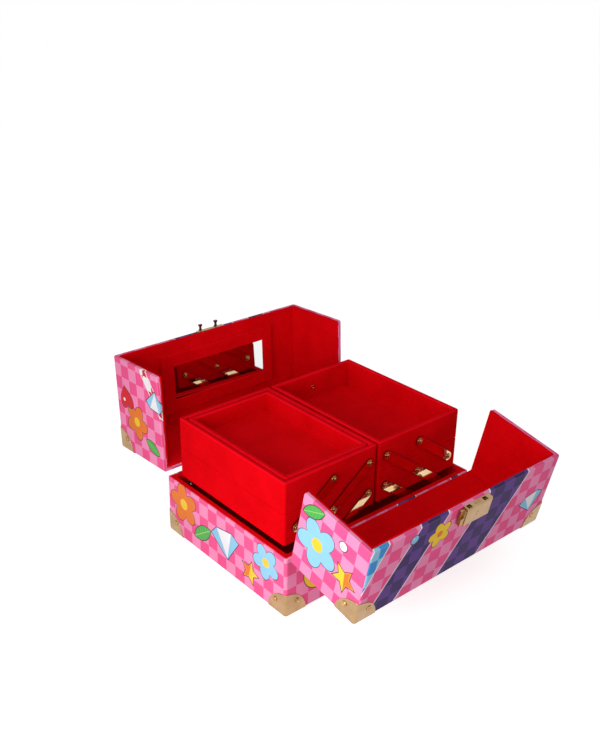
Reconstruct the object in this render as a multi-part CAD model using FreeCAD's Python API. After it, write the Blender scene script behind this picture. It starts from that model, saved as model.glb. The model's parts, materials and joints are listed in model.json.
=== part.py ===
import FreeCAD, Part
import math
import os

# Jewellery case in millimetres, +Z up. The origin is the middle of the underside, where the case stands.
# X runs along the case, the latch lid opens to -Y and the mirror lid to +Y.
# The lids are made closed and then swung open about their hinges, and the trays are stowed.

V = FreeCAD.Vector

# Case
case_length = 250.0
case_depth = 190.5
base_height = 65.0
back_lid_depth = 106.5
edge_radius = 3.0
free_corner_radius = 2.5
board_thickness = 3.6
cover_thickness = 0.6
lining_thickness = 2.0
base_lining_thickness = 3.2
floor_pad_thickness = 2.0
floor_pad_clearance = 0.2
bottom_sheet_margin = 1.5
rim_gap = 0.4
split_gap = 0.6
back_lid_angle = 93.0
front_lid_angle = 102.0

# Corner guards and their rivets
guard_thickness = 0.8
guard_reach = 24.7
guard_rivet_inset = 14.0
guard_head_radius = 2.9
guard_head_height = 1.1
guard_shank_radius = 1.1
guard_shank_bite = 3.0

# Trays
tray_height = 33.0
tray_wall = 5.0
tray_floor = 3.0
tray_end_gap = 1.2
tray_side_gap = 5.45
tray_middle_gap = 3.0
tray_lift = 3.6
stack_gap = 0.3
tray_edge_radius = 2.0
tray_rim_radius = 1.2
insert_gap = 1.0
insert_wall = 5.0
insert_floor = 3.0
insert_pocket = 20.0
insert_rest_gap = 0.3

# Cantilever arms and their pivots
inner_pivot_inset = 10.25
outer_pivot_inset = 13.05
arm_width = 9.5
arm_thickness = 1.2
arm_gap = 0.4
head_gap = 0.2
pivot_radius = 1.5
pivot_clearance = 0.05
pivot_head_radius = 3.3
pivot_head_height = 1.6
pivot_tail_radius = 2.6
pivot_tail_height = 0.7
spacer_radius = 4.0
pivot_screw_bite = 3.0

# Lid hinges
hinge_offset = 2.95
hinge_drop = 2.0
hinge_width = 38.0
leaf_height = 17.0
leaf_thickness = 1.0
knuckle_radius = 2.6
knuckle_clearance = 0.5
knuckle_gap = 0.3
leaf_stand_off = 0.3
hinge_pin_radius = 1.2
hinge_pin_clearance = 0.05
hinge_pin_end = 0.8
leaf_screw_pitch = 13.0
leaf_screw_head_radius = 2.3
leaf_screw_head_height = 0.9
leaf_screw_radius = 1.1
leaf_screw_bite = 3.0

# Mirror in the back lid
mirror_frame_length = 154.0
mirror_frame_depth = 70.0
mirror_frame_thickness = 5.0
mirror_frame_border = 15.0
mirror_frame_inset = 23.0
mirror_frame_shift = 4.0
mirror_frame_edge_radius = 2.0
mirror_rabbet = 3.0
mirror_thickness = 2.0
mirror_fit = 0.2
mirror_headroom = 3.5

# Latch on the front lid
latch_length = 33.2
latch_shift = 1.9
latch_depth = 19.5
latch_height = 6.2
latch_wall = 1.0
latch_chamfer = 1.1
latch_plate_thickness = 0.8
latch_fit = 0.3
latch_travel = 2.0
latch_button_reach = 5.4
latch_button_depth = 15.5
latch_button_step = 1.6
latch_bar_thickness = 3.0
latch_bar_depth = 3.0
latch_tail_depth = 5.0
latch_tail_length = 18.2
latch_strut_width = 1.0
latch_tooth_depth = 1.4
latch_stud_radius = 1.7
latch_stud_height = 0.8
latch_rivet_radius = 1.1
latch_rivet_head_radius = 2.0
latch_rivet_head_height = 0.5
latch_rivet_pitch = 12.0
rib_count = 5
rib_pitch = 2.0
rib_width = 0.9
rib_depth = 0.35
spring_strip = 0.5
spring_width = 2.0
spring_end_gap = 0.2

# Keeper on the back lid
keeper_length = 35.0
keeper_depth = 12.0
keeper_thickness = 1.0
keeper_flange_thickness = 0.3
keeper_flange_depth = 4.0
hook_pitch = 21.0
hook_reach = 5.4
hook_head_width = 3.8
hook_head_depth = 2.0
hook_neck_width = 1.6
hook_root_depth = 5.0
hook_thickness = 2.6
hook_rise = 0.6
slot_clearance = 0.7
keeper_rivet_pitch = 9.0
keeper_rivet_radius = 1.1
keeper_head_radius = 2.2
keeper_head_height = 0.9
keeper_rivet_bite = 3.0

# Values worked out from the sizes above
OVERRUN = 50.0  # how far a long cutter runs past the case
PAST = 1.0  # how far a short cutter runs past a face
TOUCH = 1e-6  # two heights closer than this are the same
LEFT, RIGHT = -1, 1
FRONT, BACK = -1, 1
SIDE_NAMES = {LEFT: "left", RIGHT: "right"}
FACE_NAMES = {FRONT: "front", BACK: "back"}

half_length = case_length / 2
half_depth = case_depth / 2
lid_wall = cover_thickness + board_thickness + lining_thickness
base_wall = cover_thickness + board_thickness + base_lining_thickness
bottom_z = guard_thickness
floor_z = bottom_z + cover_thickness + board_thickness
lower_tray_z = base_height + tray_lift
upper_tray_z = lower_tray_z + tray_height + stack_gap
tray_top_z = upper_tray_z + tray_height
ceiling_z = tray_top_z + mirror_headroom + mirror_frame_thickness
top_z = ceiling_z + lid_wall
split_y = half_depth - back_lid_depth - split_gap / 2
back_split_y = split_y + split_gap / 2
front_split_y = split_y - split_gap / 2

tray_half_depth = half_depth - base_wall - tray_side_gap
tray_inner_x = tray_middle_gap / 2
tray_outer_x = half_length - base_wall - tray_end_gap
stage_rise = tray_height + stack_gap
lower_pivot_z = lower_tray_z + tray_height / 2
upper_pivot_z = lower_pivot_z + stage_rise
base_pivot_z = lower_pivot_z - stage_rise
inner_pivot_x = tray_inner_x + inner_pivot_inset
outer_pivot_x = tray_outer_x - outer_pivot_inset
middle_pivot_x = (inner_pivot_x + outer_pivot_x) / 2
arm_inner_y = tray_half_depth + arm_gap
arm_outer_y = arm_inner_y + arm_thickness
lining_y = half_depth - base_wall

hinge_spacing = 2 * (middle_pivot_x + hinge_offset)
hinge_y = half_depth + knuckle_radius + knuckle_clearance
hinge_z = base_height - hinge_drop


# Shared shapes

def box(x_span, y_span, z_span):
    """Box from spans of X, Y and Z, each given low first."""
    low = V(x_span[0], y_span[0], z_span[0])
    return Part.makeBox(x_span[1] - x_span[0], y_span[1] - y_span[0], z_span[1] - z_span[0], low)


def about(middle, size):
    """Span of a given size about its middle."""
    return (middle - size / 2, middle + size / 2)


def ordered(a, b):
    """Span between two values, low first."""
    return (min(a, b), max(a, b))


def rounded_case(inset):
    """The whole closed case with rounded edges, drawn in by inset from the printed cover."""
    block = box(
        (-half_length + inset, half_length - inset),
        (-half_depth + inset, half_depth - inset),
        (bottom_z + inset, top_z - inset),
    )
    return block.makeFillet(edge_radius - inset, block.Edges)


def case_hollow(inset):
    """The space inside the closed case, drawn in by inset from the boards' inner faces."""
    reach = cover_thickness + board_thickness + inset
    return box(
        (-half_length + reach, half_length - reach),
        (-half_depth + reach, half_depth - reach),
        (floor_z, top_z - reach),
    )


def placed(shape, position, direction):
    """A shape made along +Z, moved to start at position and point along direction."""
    moved = shape.copy()
    moved.Placement = FreeCAD.Placement(position, FreeCAD.Rotation(V(0, 0, 1), direction))
    return moved


def rivet(head_radius, head_height, shank_radius, shank_length, tail_radius=0.0, tail_height=0.0):
    """Domed head above z = 0 on a shank below it, with a flat tail if it has one."""
    ball = (head_radius ** 2 + head_height ** 2) / (2 * head_height)
    half_turn = math.asin(min(1.0, head_radius / ball)) / 2
    crown = V(0, 0, head_height)
    shoulder = V(ball * math.sin(half_turn), 0, head_height - ball + ball * math.cos(half_turn))
    rim = V(head_radius, 0, 0)
    corners = [rim, V(shank_radius, 0, 0), V(shank_radius, 0, -shank_length)]
    if tail_radius:
        corners += [V(tail_radius, 0, -shank_length), V(tail_radius, 0, -shank_length - tail_height)]
    corners += [V(0, 0, -shank_length - tail_height), crown]
    edges = [Part.Arc(crown, shoulder, rim).toShape()]
    edges += [Part.makeLine(a, b) for a, b in zip(corners, corners[1:])]
    return Part.Face(Part.Wire(edges)).revolve(V(0, 0, 0), V(0, 0, 1), 360)


def bore(position, direction, radius, depth):
    """Cylinder that cuts a hole of a given depth, from just above position against direction."""
    start = position + direction * OVERRUN
    return Part.makeCylinder(radius, OVERRUN + depth, start, direction * -1)


def cut_all(shape, tools):
    """A shape less every tool."""
    return shape.cut(tools) if tools else shape


def swung_open(shape, face):
    """A lid's piece, swung from closed to the open pose about its hinge."""
    angle = front_lid_angle if face == FRONT else -back_lid_angle
    moved = shape.copy()
    moved.rotate(V(0, face * hinge_y, hinge_z), V(1, 0, 0), angle)
    return moved


# Boxes of the base and the lids

def zone(face, inset):
    """Where the base (face 0) or a lid reaches, drawn in by inset from its rim and split.

    A lid's corner between its rim and its split is rounded.
    """
    wide = (-case_length, case_length)
    if face == 0:
        return box(wide, (-case_depth, case_depth), (-OVERRUN, base_height - inset))
    rim_z = base_height + rim_gap + inset
    edge_y = back_split_y + inset if face == BACK else front_split_y - inset
    block = box(wide, ordered(edge_y, face * case_depth), (rim_z, top_z + OVERRUN))
    free = [
        e for e in block.Edges
        if abs(e.CenterOfMass.y - edge_y) < TOUCH and abs(e.CenterOfMass.z - rim_z) < TOUCH
    ]
    return block.makeFillet(free_corner_radius - inset, free)


def carcass(face):
    """Board box of the base or a lid."""
    boards = rounded_case(cover_thickness).common(zone(face, cover_thickness))
    return boards.cut(case_hollow(0))


def cover(face):
    """Printed cover outside the boards, folded over their rims."""
    boards = rounded_case(cover_thickness).common(zone(face, cover_thickness))
    return rounded_case(0).common(zone(face, 0)).cut([boards, case_hollow(0)])


def lining(face):
    """Velvet on the inner faces, thicker on the walls of the base."""
    inner = case_hollow(lining_thickness if face else base_lining_thickness)
    if face == 0:
        inner = inner.fuse(inner.translated(V(0, 0, -OVERRUN))).removeSplitter()
    return case_hollow(0).cut(inner).common(zone(face, 0))


def floor_pad():
    """Velvet covered card on the floor of the base."""
    reach = base_wall + floor_pad_clearance
    return box(
        (-half_length + reach, half_length - reach),
        (-half_depth + reach, half_depth - reach),
        (floor_z, floor_z + floor_pad_thickness),
    )


def bottom_sheet():
    """Felt sheet under the base, level with the guards, that the case stands on."""
    reach = guard_reach + bottom_sheet_margin
    return box(
        (-half_length + reach, half_length - reach),
        (-half_depth + reach, half_depth - reach),
        (0, bottom_z),
    )


# Corner guards

def corner_end(face):
    """Height of the guarded corners, and which way is out of the case there."""
    return (bottom_z, -1) if face == 0 else (top_z, 1)


def guard_corners(face):
    """Signs of X and Y at the guarded corners of the base or a lid."""
    return [(sx, sy) for sx in (LEFT, RIGHT) for sy in ((FRONT, BACK) if face == 0 else (face,))]


def corner_guard(sx, sy, end_z):
    """Pressed guard round one corner, with a quarter disc on each of its three faces."""
    grown = rounded_case(-guard_thickness).cut(rounded_case(0))
    corner = V(sx * half_length, sy * half_depth, end_z)
    return grown.common(Part.makeSphere(guard_reach, corner))


def guard_rivet_seats(face):
    """Place and outward direction of each guard rivet; the base has none underneath."""
    end_z, sz = corner_end(face)
    seats = []
    for sx, sy in guard_corners(face):
        x = sx * (half_length - guard_rivet_inset)
        y = sy * (half_depth - guard_rivet_inset)
        z = end_z - sz * guard_rivet_inset
        seats.append((V(sx * (half_length + guard_thickness), y, z), V(sx, 0, 0)))
        seats.append((V(x, sy * (half_depth + guard_thickness), z), V(0, sy, 0)))
        if face != 0:
            seats.append((V(x, y, end_z + sz * guard_thickness), V(0, 0, sz)))
    return seats


guard_shank_length = guard_thickness + cover_thickness + guard_shank_bite


def guard_bores(face):
    """Holes for the guard rivets."""
    return [bore(p, d, guard_shank_radius, guard_shank_length) for p, d in guard_rivet_seats(face)]


def corner_guards(face):
    """All guards of the base or a lid."""
    end_z = corner_end(face)[0]
    guards = [corner_guard(sx, sy, end_z) for sx, sy in guard_corners(face)]
    return [cut_all(guard, guard_bores(face)) for guard in guards]


def guard_rivets(face):
    """All guard rivets of the base or a lid."""
    one = rivet(guard_head_radius, guard_head_height, guard_shank_radius, guard_shank_length)
    return [placed(one, p, d) for p, d in guard_rivet_seats(face)]


# Lid hinges

def hinge_middles():
    """X of the middle of each hinge."""
    return (-hinge_spacing / 2, hinge_spacing / 2)


def knuckle_spans(middle, lid):
    """X spans of a leaf's knuckles: the lid has the middle one, the base has the outer two."""
    third = hinge_width / 3
    if lid:
        return [about(middle, third - knuckle_gap)]
    reach = hinge_width / 2
    inner = third / 2 + knuckle_gap / 2
    return [(middle - reach, middle - inner), (middle + inner, middle + reach)]


def hinge_leaf(middle, face, lid):
    """One leaf: a plate on the outer face, joined to its knuckles round the pin."""
    up = 1 if lid else -1
    plate_y = ordered(face * half_depth, face * (half_depth + leaf_thickness))
    edge_z = hinge_z + up * (knuckle_radius + knuckle_clearance)
    leaf = box(about(middle, hinge_width), plate_y, ordered(edge_z, hinge_z + up * leaf_height))
    tab_y = ordered(face * (half_depth + leaf_stand_off), face * (half_depth + leaf_thickness))
    for span in knuckle_spans(middle, lid):
        tab = box(span, tab_y if lid else plate_y, ordered(hinge_z, edge_z))
        start = V(span[0], face * hinge_y, hinge_z)
        barrel = Part.makeCylinder(knuckle_radius, span[1] - span[0], start, V(1, 0, 0))
        leaf = leaf.fuse([tab, barrel])
    hole_radius = hinge_pin_radius + (hinge_pin_clearance if lid else 0)
    hole = Part.makeCylinder(
        hole_radius, hinge_width, V(middle - hinge_width / 2, face * hinge_y, hinge_z), V(1, 0, 0)
    )
    return cut_all(leaf.removeSplitter(), [hole] + leaf_screw_bores(face, lid))


def hinge_pin(middle, face):
    """Pin through all three knuckles."""
    length = hinge_width + 2 * hinge_pin_end
    start = V(middle - length / 2, face * hinge_y, hinge_z)
    return Part.makeCylinder(hinge_pin_radius, length, start, V(1, 0, 0))


def leaf_screw_seats(face, lid):
    """Place and direction of the leaf screws on one side of the base or on a lid."""
    up = 1 if lid else -1
    z = hinge_z + up * (leaf_height + knuckle_radius + knuckle_clearance) / 2
    rows = [middle + step * leaf_screw_pitch for middle in hinge_middles() for step in (-1, 0, 1)]
    return [(V(x, face * (half_depth + leaf_thickness), z), V(0, face, 0)) for x in rows]


leaf_shank_length = leaf_thickness + cover_thickness + leaf_screw_bite


def leaf_screw_bores(face, lid):
    """Holes for the leaf screws."""
    return [bore(p, d, leaf_screw_radius, leaf_shank_length) for p, d in leaf_screw_seats(face, lid)]


def leaf_screws(face, lid):
    """Screws of one side's leaves."""
    one = rivet(leaf_screw_head_radius, leaf_screw_head_height, leaf_screw_radius, leaf_shank_length)
    return [placed(one, p, d) for p, d in leaf_screw_seats(face, lid)]


# Mirror

frame_back_y = half_depth - mirror_frame_inset
frame_y = (frame_back_y - mirror_frame_depth, frame_back_y)
window_x = about(mirror_frame_shift, mirror_frame_length - 2 * mirror_frame_border)
window_y = (frame_y[0] + mirror_frame_border, frame_y[1] - mirror_frame_border)
frame_front_z = ceiling_z - mirror_frame_thickness


def mirror_glass():
    """Plate of mirror glass held behind the frame's window."""
    return box(
        (window_x[0] - mirror_rabbet, window_x[1] + mirror_rabbet),
        (window_y[0] - mirror_rabbet, window_y[1] + mirror_rabbet),
        (ceiling_z - mirror_thickness, ceiling_z),
    )


def mirror_frame():
    """Velvet covered frame with a rabbet for the glass behind its window."""
    reach = mirror_rabbet + mirror_fit
    frame = box(about(mirror_frame_shift, mirror_frame_length), frame_y, (frame_front_z, ceiling_z))
    frame = frame.cut(box(window_x, window_y, (frame_front_z - PAST, ceiling_z + PAST)))
    frame = frame.cut(box(
        (window_x[0] - reach, window_x[1] + reach),
        (window_y[0] - reach, window_y[1] + reach),
        (ceiling_z - mirror_thickness - mirror_fit, ceiling_z + PAST),
    ))
    front = [e for e in frame.Edges if abs(e.BoundBox.ZMax - frame_front_z) < TOUCH]
    return frame.makeFillet(mirror_frame_edge_radius, front)


# Keeper and latch; they sit on the lids' outer faces, at the split

hook_z = (top_z + keeper_thickness + hook_rise, top_z + keeper_thickness + hook_rise + hook_thickness)
hook_tip_y = front_split_y - hook_reach
hook_head_back_y = hook_tip_y + hook_head_depth
keeper_y = (back_split_y, back_split_y + keeper_depth)


def hook_middles():
    """X of the middle of each hook."""
    return (-hook_pitch / 2, hook_pitch / 2)


def keeper_rivet_seats():
    """Place and direction of the keeper's rivets."""
    y = sum(keeper_y) / 2 + hook_root_depth / 2
    return [(V(x, y, top_z + keeper_thickness), V(0, 0, 1)) for x in about(0, keeper_rivet_pitch)]


keeper_shank_length = keeper_thickness + cover_thickness + keeper_rivet_bite


def keeper_bores():
    """Holes for the keeper's rivets."""
    seats = keeper_rivet_seats()
    return [bore(p, d, keeper_rivet_radius, keeper_shank_length) for p, d in seats]


def keeper_plate():
    """Plate that carries the hooks, with a thin flange bent over the split."""
    plate = box(about(0, keeper_length), keeper_y, (top_z, top_z + keeper_thickness))
    flange_y = (keeper_y[0] - keeper_flange_thickness, keeper_y[0])
    flange_z = (top_z - keeper_flange_depth, top_z + keeper_thickness)
    plate = plate.fuse(box(about(0, keeper_length), flange_y, flange_z)).removeSplitter()
    return cut_all(plate, keeper_bores())


def keeper_hook(x):
    """Hook with a root on the plate, a narrow neck over the split and a wider head."""
    root = box(
        about(x, hook_head_width),
        (keeper_y[0], keeper_y[0] + hook_root_depth),
        (top_z + keeper_thickness, hook_z[1]),
    )
    neck = box(about(x, hook_neck_width), (hook_tip_y, keeper_y[0] + hook_root_depth / 2), hook_z)
    head = box(about(x, hook_head_width), (hook_tip_y, hook_head_back_y), hook_z)
    return root.fuse([neck, head]).removeSplitter()


def keeper_rivets():
    """Domed rivets of the keeper plate."""
    one = rivet(keeper_head_radius, keeper_head_height, keeper_rivet_radius, keeper_shank_length)
    return [placed(one, p, d) for p, d in keeper_rivet_seats()]


latch_x = about(latch_shift, latch_length)
latch_y = (front_split_y - latch_depth, front_split_y)
latch_top_z = top_z + latch_height
room_x = (latch_x[0] + latch_wall, latch_x[1] - latch_wall)
room_y = (latch_y[0] + latch_wall, latch_y[1] - latch_wall)
room_z = (top_z + latch_plate_thickness, latch_top_z - latch_wall)
slide_z = about(sum(hook_z) / 2, latch_bar_thickness)
button_z = (room_z[0] + latch_fit, room_z[1] - latch_fit)
button_y = about(sum(latch_y) / 2, latch_button_depth)


def latch_stud_seat():
    """Middle of the housing's face, where the stud sits."""
    return V(0, sum(latch_y) / 2, latch_top_z)


def latch_housing():
    """Pressed housing, open to the lid, with a slot for each hook and a door for the button."""
    shell = box(latch_x, latch_y, (top_z, latch_top_z))
    upper = [e for e in shell.Edges if e.BoundBox.ZMin > latch_top_z - TOUCH]
    shell = shell.makeChamfer(latch_chamfer, upper)
    tools = [box(room_x, room_y, (top_z - PAST, room_z[1]))]
    for x in hook_middles():
        slot_z = (hook_z[0] - slot_clearance, hook_z[1] + slot_clearance)
        slot_y = (room_y[1] - PAST, latch_y[1] + PAST)
        tools.append(box(about(x, hook_head_width + 2 * slot_clearance), slot_y, slot_z))
    door_y = (button_y[0] - latch_fit, button_y[1] + latch_fit)
    tools.append(box((latch_x[0] - PAST, room_x[0] + PAST), door_y, room_z))
    for rank in range(rib_count - 1):
        x = (rank - (rib_count - 2) / 2) * rib_pitch
        groove_y = (latch_y[1] - rib_depth, latch_y[1] + PAST)
        tools.append(box(about(x, rib_pitch - rib_width), groove_y, hook_z))
    tools.append(bore(latch_stud_seat(), V(0, 0, 1), latch_rivet_radius, latch_wall))
    return shell.cut(tools)


def latch_rivet_seats():
    """Place and direction of the rivets that hold the back plate."""
    y = room_y[0] + latch_fit + latch_rivet_head_radius
    return [(V(x, y, room_z[0]), V(0, 0, 1)) for x in about(0, latch_rivet_pitch)]


latch_shank_length = latch_plate_thickness + cover_thickness + keeper_rivet_bite


def latch_bores():
    """Holes for the back plate's rivets."""
    seats = latch_rivet_seats()
    return [bore(p, d, latch_rivet_radius, latch_shank_length) for p, d in seats]


def latch_back_plate():
    """Plate inside the housing that the slide runs on."""
    plate_x = (room_x[0] + pivot_clearance, room_x[1] - pivot_clearance)
    plate_y = (room_y[0] + pivot_clearance, room_y[1] - pivot_clearance)
    return cut_all(box(plate_x, plate_y, (top_z, room_z[0])), latch_bores())


def latch_rivets():
    """Rivets of the back plate, and the stud on the housing's face."""
    low = rivet(latch_rivet_head_radius, latch_rivet_head_height, latch_rivet_radius, latch_shank_length)
    stud = rivet(latch_stud_radius, latch_stud_height, latch_rivet_radius, latch_wall)
    stud = placed(stud, latch_stud_seat(), V(0, 0, 1))
    return [placed(low, p, d) for p, d in latch_rivet_seats()] + [stud]


tooth_y = about((hook_head_back_y + room_y[1]) / 2, latch_tooth_depth)
bar_y = (hook_tip_y - latch_fit - latch_bar_depth, hook_tip_y - latch_fit)
tail_y = (bar_y[0] - latch_tail_depth, bar_y[0])
tail_end_x = room_x[0] + latch_tail_length


def latch_slide():
    """Button and bar in one piece, with a tooth behind the head of each hook."""
    reach_x = latch_x[0] - latch_button_reach
    button = box((reach_x, latch_x[0]), button_y, button_z)
    button = button.fuse(box((latch_x[0], room_x[0] + latch_bar_depth), (button_y[0], bar_y[1]), button_z))
    step_y = (sum(button_y) / 2, button_y[1] + PAST)
    step_x = (reach_x - PAST, reach_x + latch_button_reach - latch_travel - latch_fit)
    button = button.cut(box(step_x, step_y, (button_z[1] - latch_button_step, button_z[1] + PAST)))
    strut_gap = hook_head_width / 2 + latch_fit
    last_x = hook_middles()[1] + strut_gap + latch_strut_width
    pieces = [
        box((room_x[0], last_x), bar_y, slide_z),
        box((room_x[0], tail_end_x), tail_y, slide_z),
    ]
    for x in hook_middles():
        strut_x = (x + strut_gap, x + strut_gap + latch_strut_width)
        tooth_x = (x + hook_neck_width / 2 + latch_fit, strut_x[0])
        pieces.append(box(strut_x, (bar_y[1], tooth_y[1]), slide_z))
        pieces.append(box(tooth_x, tooth_y, slide_z))
    return button.fuse(pieces).removeSplitter()


def latch_spring():
    """Bent strip spring that pushes the slide's tail back from the housing's far end."""
    tip = V(tail_end_x + spring_end_gap, sum(tail_y) / 2, 0)
    far_x = room_x[1] - spring_end_gap
    spread = (tail_y[1] - tail_y[0]) / 2
    strip = V(spring_strip, 0, 0)
    high = V(far_x, tip.y + spread, 0)
    low = V(far_x, tip.y - spread, 0)
    outline = [tip, high - strip, high, tip + strip * 2, low, low - strip, tip]
    face = Part.Face(Part.makePolygon(outline))
    spring = face.extrude(V(0, 0, spring_width))
    return spring.translated(V(0, 0, sum(slide_z) / 2 - spring_width / 2))


# Trays

def tray_span_x(side):
    """X span of a tray on one side of the case."""
    return ordered(side * tray_inner_x, side * tray_outer_x)


def softened(shape, z, radius):
    """A box whose edges at height z are rounded."""
    edges = [e for e in shape.Edges if e.BoundBox.ZMin > z - TOUCH and e.BoundBox.ZMax < z + TOUCH]
    return shape.makeFillet(radius, edges)


def shrunk(span, amount):
    """A span drawn in at both ends."""
    return (span[0] + amount, span[1] - amount)


def open_box(x_span, y_span, z_span, thickness, floor):
    """Open topped box with rounded upright corners and a rounded rim."""
    block = box(x_span, y_span, z_span)
    upright = [e for e in block.Edges if e.BoundBox.ZLength > (z_span[1] - z_span[0]) / 2]
    block = block.makeFillet(tray_edge_radius, upright)
    hollow = box(shrunk(x_span, thickness), shrunk(y_span, thickness), (z_span[0] + floor, z_span[1]))
    return softened(block.cut(hollow), z_span[1], tray_rim_radius)


def tray_pivots(level):
    """Distance from the middle, and height, of each pivot on a lower (0) or upper (1) tray."""
    if level:
        return [(x, upper_pivot_z) for x in (inner_pivot_x, middle_pivot_x)]
    return [(x, lower_pivot_z) for x in (inner_pivot_x, middle_pivot_x, outer_pivot_x)]


pivot_shank_length = head_gap + arm_thickness + arm_gap + tray_wall


def tray_rivet_seats(side, level):
    """Place and direction of the pivot rivets of a tray, under their heads."""
    y = arm_outer_y + head_gap
    spots = tray_pivots(level)
    return [(V(side * x, face * y, z), V(0, face, 0)) for face in (FRONT, BACK) for x, z in spots]


def tray(side, level):
    """One tray with its pivot holes."""
    z = upper_tray_z if level else lower_tray_z
    y_span = (-tray_half_depth, tray_half_depth)
    shell = open_box(tray_span_x(side), y_span, (z, z + tray_height), tray_wall, tray_floor)
    seats = tray_rivet_seats(side, level)
    return cut_all(shell, [bore(p, d, pivot_radius, pivot_shank_length) for p, d in seats])


def tray_rivets(side, level):
    """Pivot rivets of one tray, set through its front and back walls."""
    one = rivet(
        pivot_head_radius, pivot_head_height, pivot_radius, pivot_shank_length,
        pivot_tail_radius, pivot_tail_height,
    )
    return [placed(one, p, d) for p, d in tray_rivet_seats(side, level)]


def tray_insert():
    """Loose velvet tray that drops into the left upper tray, with a pocket and a hollow underside."""
    reach = tray_wall + insert_gap
    x_span = shrunk(tray_span_x(LEFT), reach)
    y_span = shrunk((-tray_half_depth, tray_half_depth), reach + pivot_tail_height)
    z_span = (upper_tray_z + tray_floor + insert_rest_gap, tray_top_z)
    solid_floor = z_span[1] - z_span[0] - insert_pocket
    shell = open_box(x_span, y_span, z_span, insert_wall, solid_floor)
    under_z = (z_span[0] - PAST, z_span[1] - insert_pocket - insert_floor)
    return shell.cut(box(shrunk(x_span, insert_wall), shrunk(y_span, insert_wall), under_z))


# Cantilever arms

def arm(side, face, pivots):
    """Flat round-ended bar through two or three pivots in line, each given as distance and height."""
    first = V(side * pivots[0][0], 0, pivots[0][1])
    last = V(side * pivots[-1][0], 0, pivots[-1][1])
    along = (last - first).normalize()
    across = V(-along.z, 0, along.x) * (arm_width / 2)
    nose = along * (arm_width / 2)
    edges = [
        Part.makeLine(first + across, last + across),
        Part.Arc(last + across, last + nose, last - across).toShape(),
        Part.makeLine(last - across, first - across),
        Part.Arc(first - across, first - nose, first + across).toShape(),
    ]
    bar = Part.Face(Part.Wire(edges)).extrude(V(0, face * arm_thickness, 0))
    bar.translate(V(0, face * arm_inner_y, 0))
    hole = pivot_radius + pivot_clearance
    outside = V(0, face, 0)
    seats = [V(side * x, face * arm_outer_y, z) for x, z in pivots]
    return bar.cut([bore(seat, outside, hole, arm_thickness * 2) for seat in seats])


LONG_ARM = [
    (inner_pivot_x, upper_pivot_z), (middle_pivot_x, lower_pivot_z), (outer_pivot_x, base_pivot_z),
]
LOWER_ARM = [(inner_pivot_x, lower_pivot_z), (middle_pivot_x, base_pivot_z)]
UPPER_ARM = [(middle_pivot_x, upper_pivot_z), (outer_pivot_x, lower_pivot_z)]
ARMS = {"long": LONG_ARM, "lower": LOWER_ARM, "upper": UPPER_ARM}


def base_pivot_seats():
    """Place and direction of the screws that carry the arms on the base's walls, under their heads."""
    y = arm_inner_y - head_gap
    spots = [(middle_pivot_x, base_pivot_z), (outer_pivot_x, base_pivot_z)]
    return [
        (V(side * x, face * y, z), V(0, -face, 0))
        for side in (LEFT, RIGHT) for face in (FRONT, BACK) for x, z in spots
    ]


base_screw_length = lining_y - arm_inner_y + head_gap + base_lining_thickness + pivot_screw_bite


def base_pivot_bores():
    """Holes in the base's walls for the pivot screws."""
    return [bore(p, d, pivot_radius, base_screw_length) for p, d in base_pivot_seats()]


def base_pivot_screws():
    """Screws through the arms' lower ends into the base's walls."""
    one = rivet(pivot_head_radius, pivot_head_height, pivot_radius, base_screw_length)
    return [placed(one, p, d) for p, d in base_pivot_seats()]


def base_pivot_spacers():
    """Bushes that stand the arms off the base's walls."""
    start = arm_outer_y + head_gap
    spacers = []
    for seat, inward in base_pivot_seats():
        outward = inward * -1
        foot = V(seat.x, outward.y * start, seat.z)
        tube = Part.makeCylinder(spacer_radius, lining_y - start, foot, outward)
        spacers.append(tube.cut(bore(seat, inward, pivot_radius, base_screw_length)))
    return spacers


# Assembly

def base_nodes():
    """Pieces that stay with the base."""
    bores = guard_bores(0) + base_pivot_bores()
    for face in (FRONT, BACK):
        bores += leaf_screw_bores(face, False)
    nodes = {
        "base_carcass": cut_all(carcass(0), bores),
        "base_cover": cut_all(cover(0), bores),
        "base_lining": cut_all(lining(0), bores),
        "base_floor_pad": floor_pad(),
        "base_bottom_sheet": bottom_sheet(),
        "base_corner_guards": corner_guards(0),
        "base_guard_rivets": guard_rivets(0),
        "base_pivot_screws": base_pivot_screws(),
        "base_pivot_spacers": base_pivot_spacers(),
        "base_hinge_screws": leaf_screws(FRONT, False) + leaf_screws(BACK, False),
        "hinge_pins": [hinge_pin(x, face) for face in (FRONT, BACK) for x in hinge_middles()],
    }
    for face, name in FACE_NAMES.items():
        nodes[name + "_hinge_base_leaves"] = [hinge_leaf(x, face, False) for x in hinge_middles()]
    return nodes


def lid_nodes(face):
    """Pieces that ride with one lid, made closed."""
    name = FACE_NAMES[face]
    fixings = keeper_bores() if face == BACK else latch_bores()
    bores = guard_bores(face) + leaf_screw_bores(face, True) + fixings
    nodes = {
        "carcass": cut_all(carcass(face), bores),
        "cover": cut_all(cover(face), bores),
        "lining": lining(face),
        "corner_guards": corner_guards(face),
        "guard_rivets": guard_rivets(face),
        "hinge_screws": leaf_screws(face, True),
    }
    nodes = {f"{name}_lid_{piece}": shape for piece, shape in nodes.items()}
    nodes[name + "_hinge_lid_leaves"] = [hinge_leaf(x, face, True) for x in hinge_middles()]
    return nodes


def back_lid_fittings():
    """Mirror and keeper, made with the lid closed."""
    return {
        "mirror_frame": mirror_frame(),
        "mirror_glass": mirror_glass(),
        "keeper_plate": keeper_plate(),
        "keeper_hooks": [keeper_hook(x) for x in hook_middles()],
        "keeper_rivets": keeper_rivets(),
    }


def front_lid_fittings():
    """Latch, made with the lid closed."""
    return {
        "latch_housing": latch_housing(),
        "latch_back_plate": latch_back_plate(),
        "latch_rivets": latch_rivets(),
        "latch_spring": latch_spring(),
        "latch_slide": latch_slide(),
    }


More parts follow.
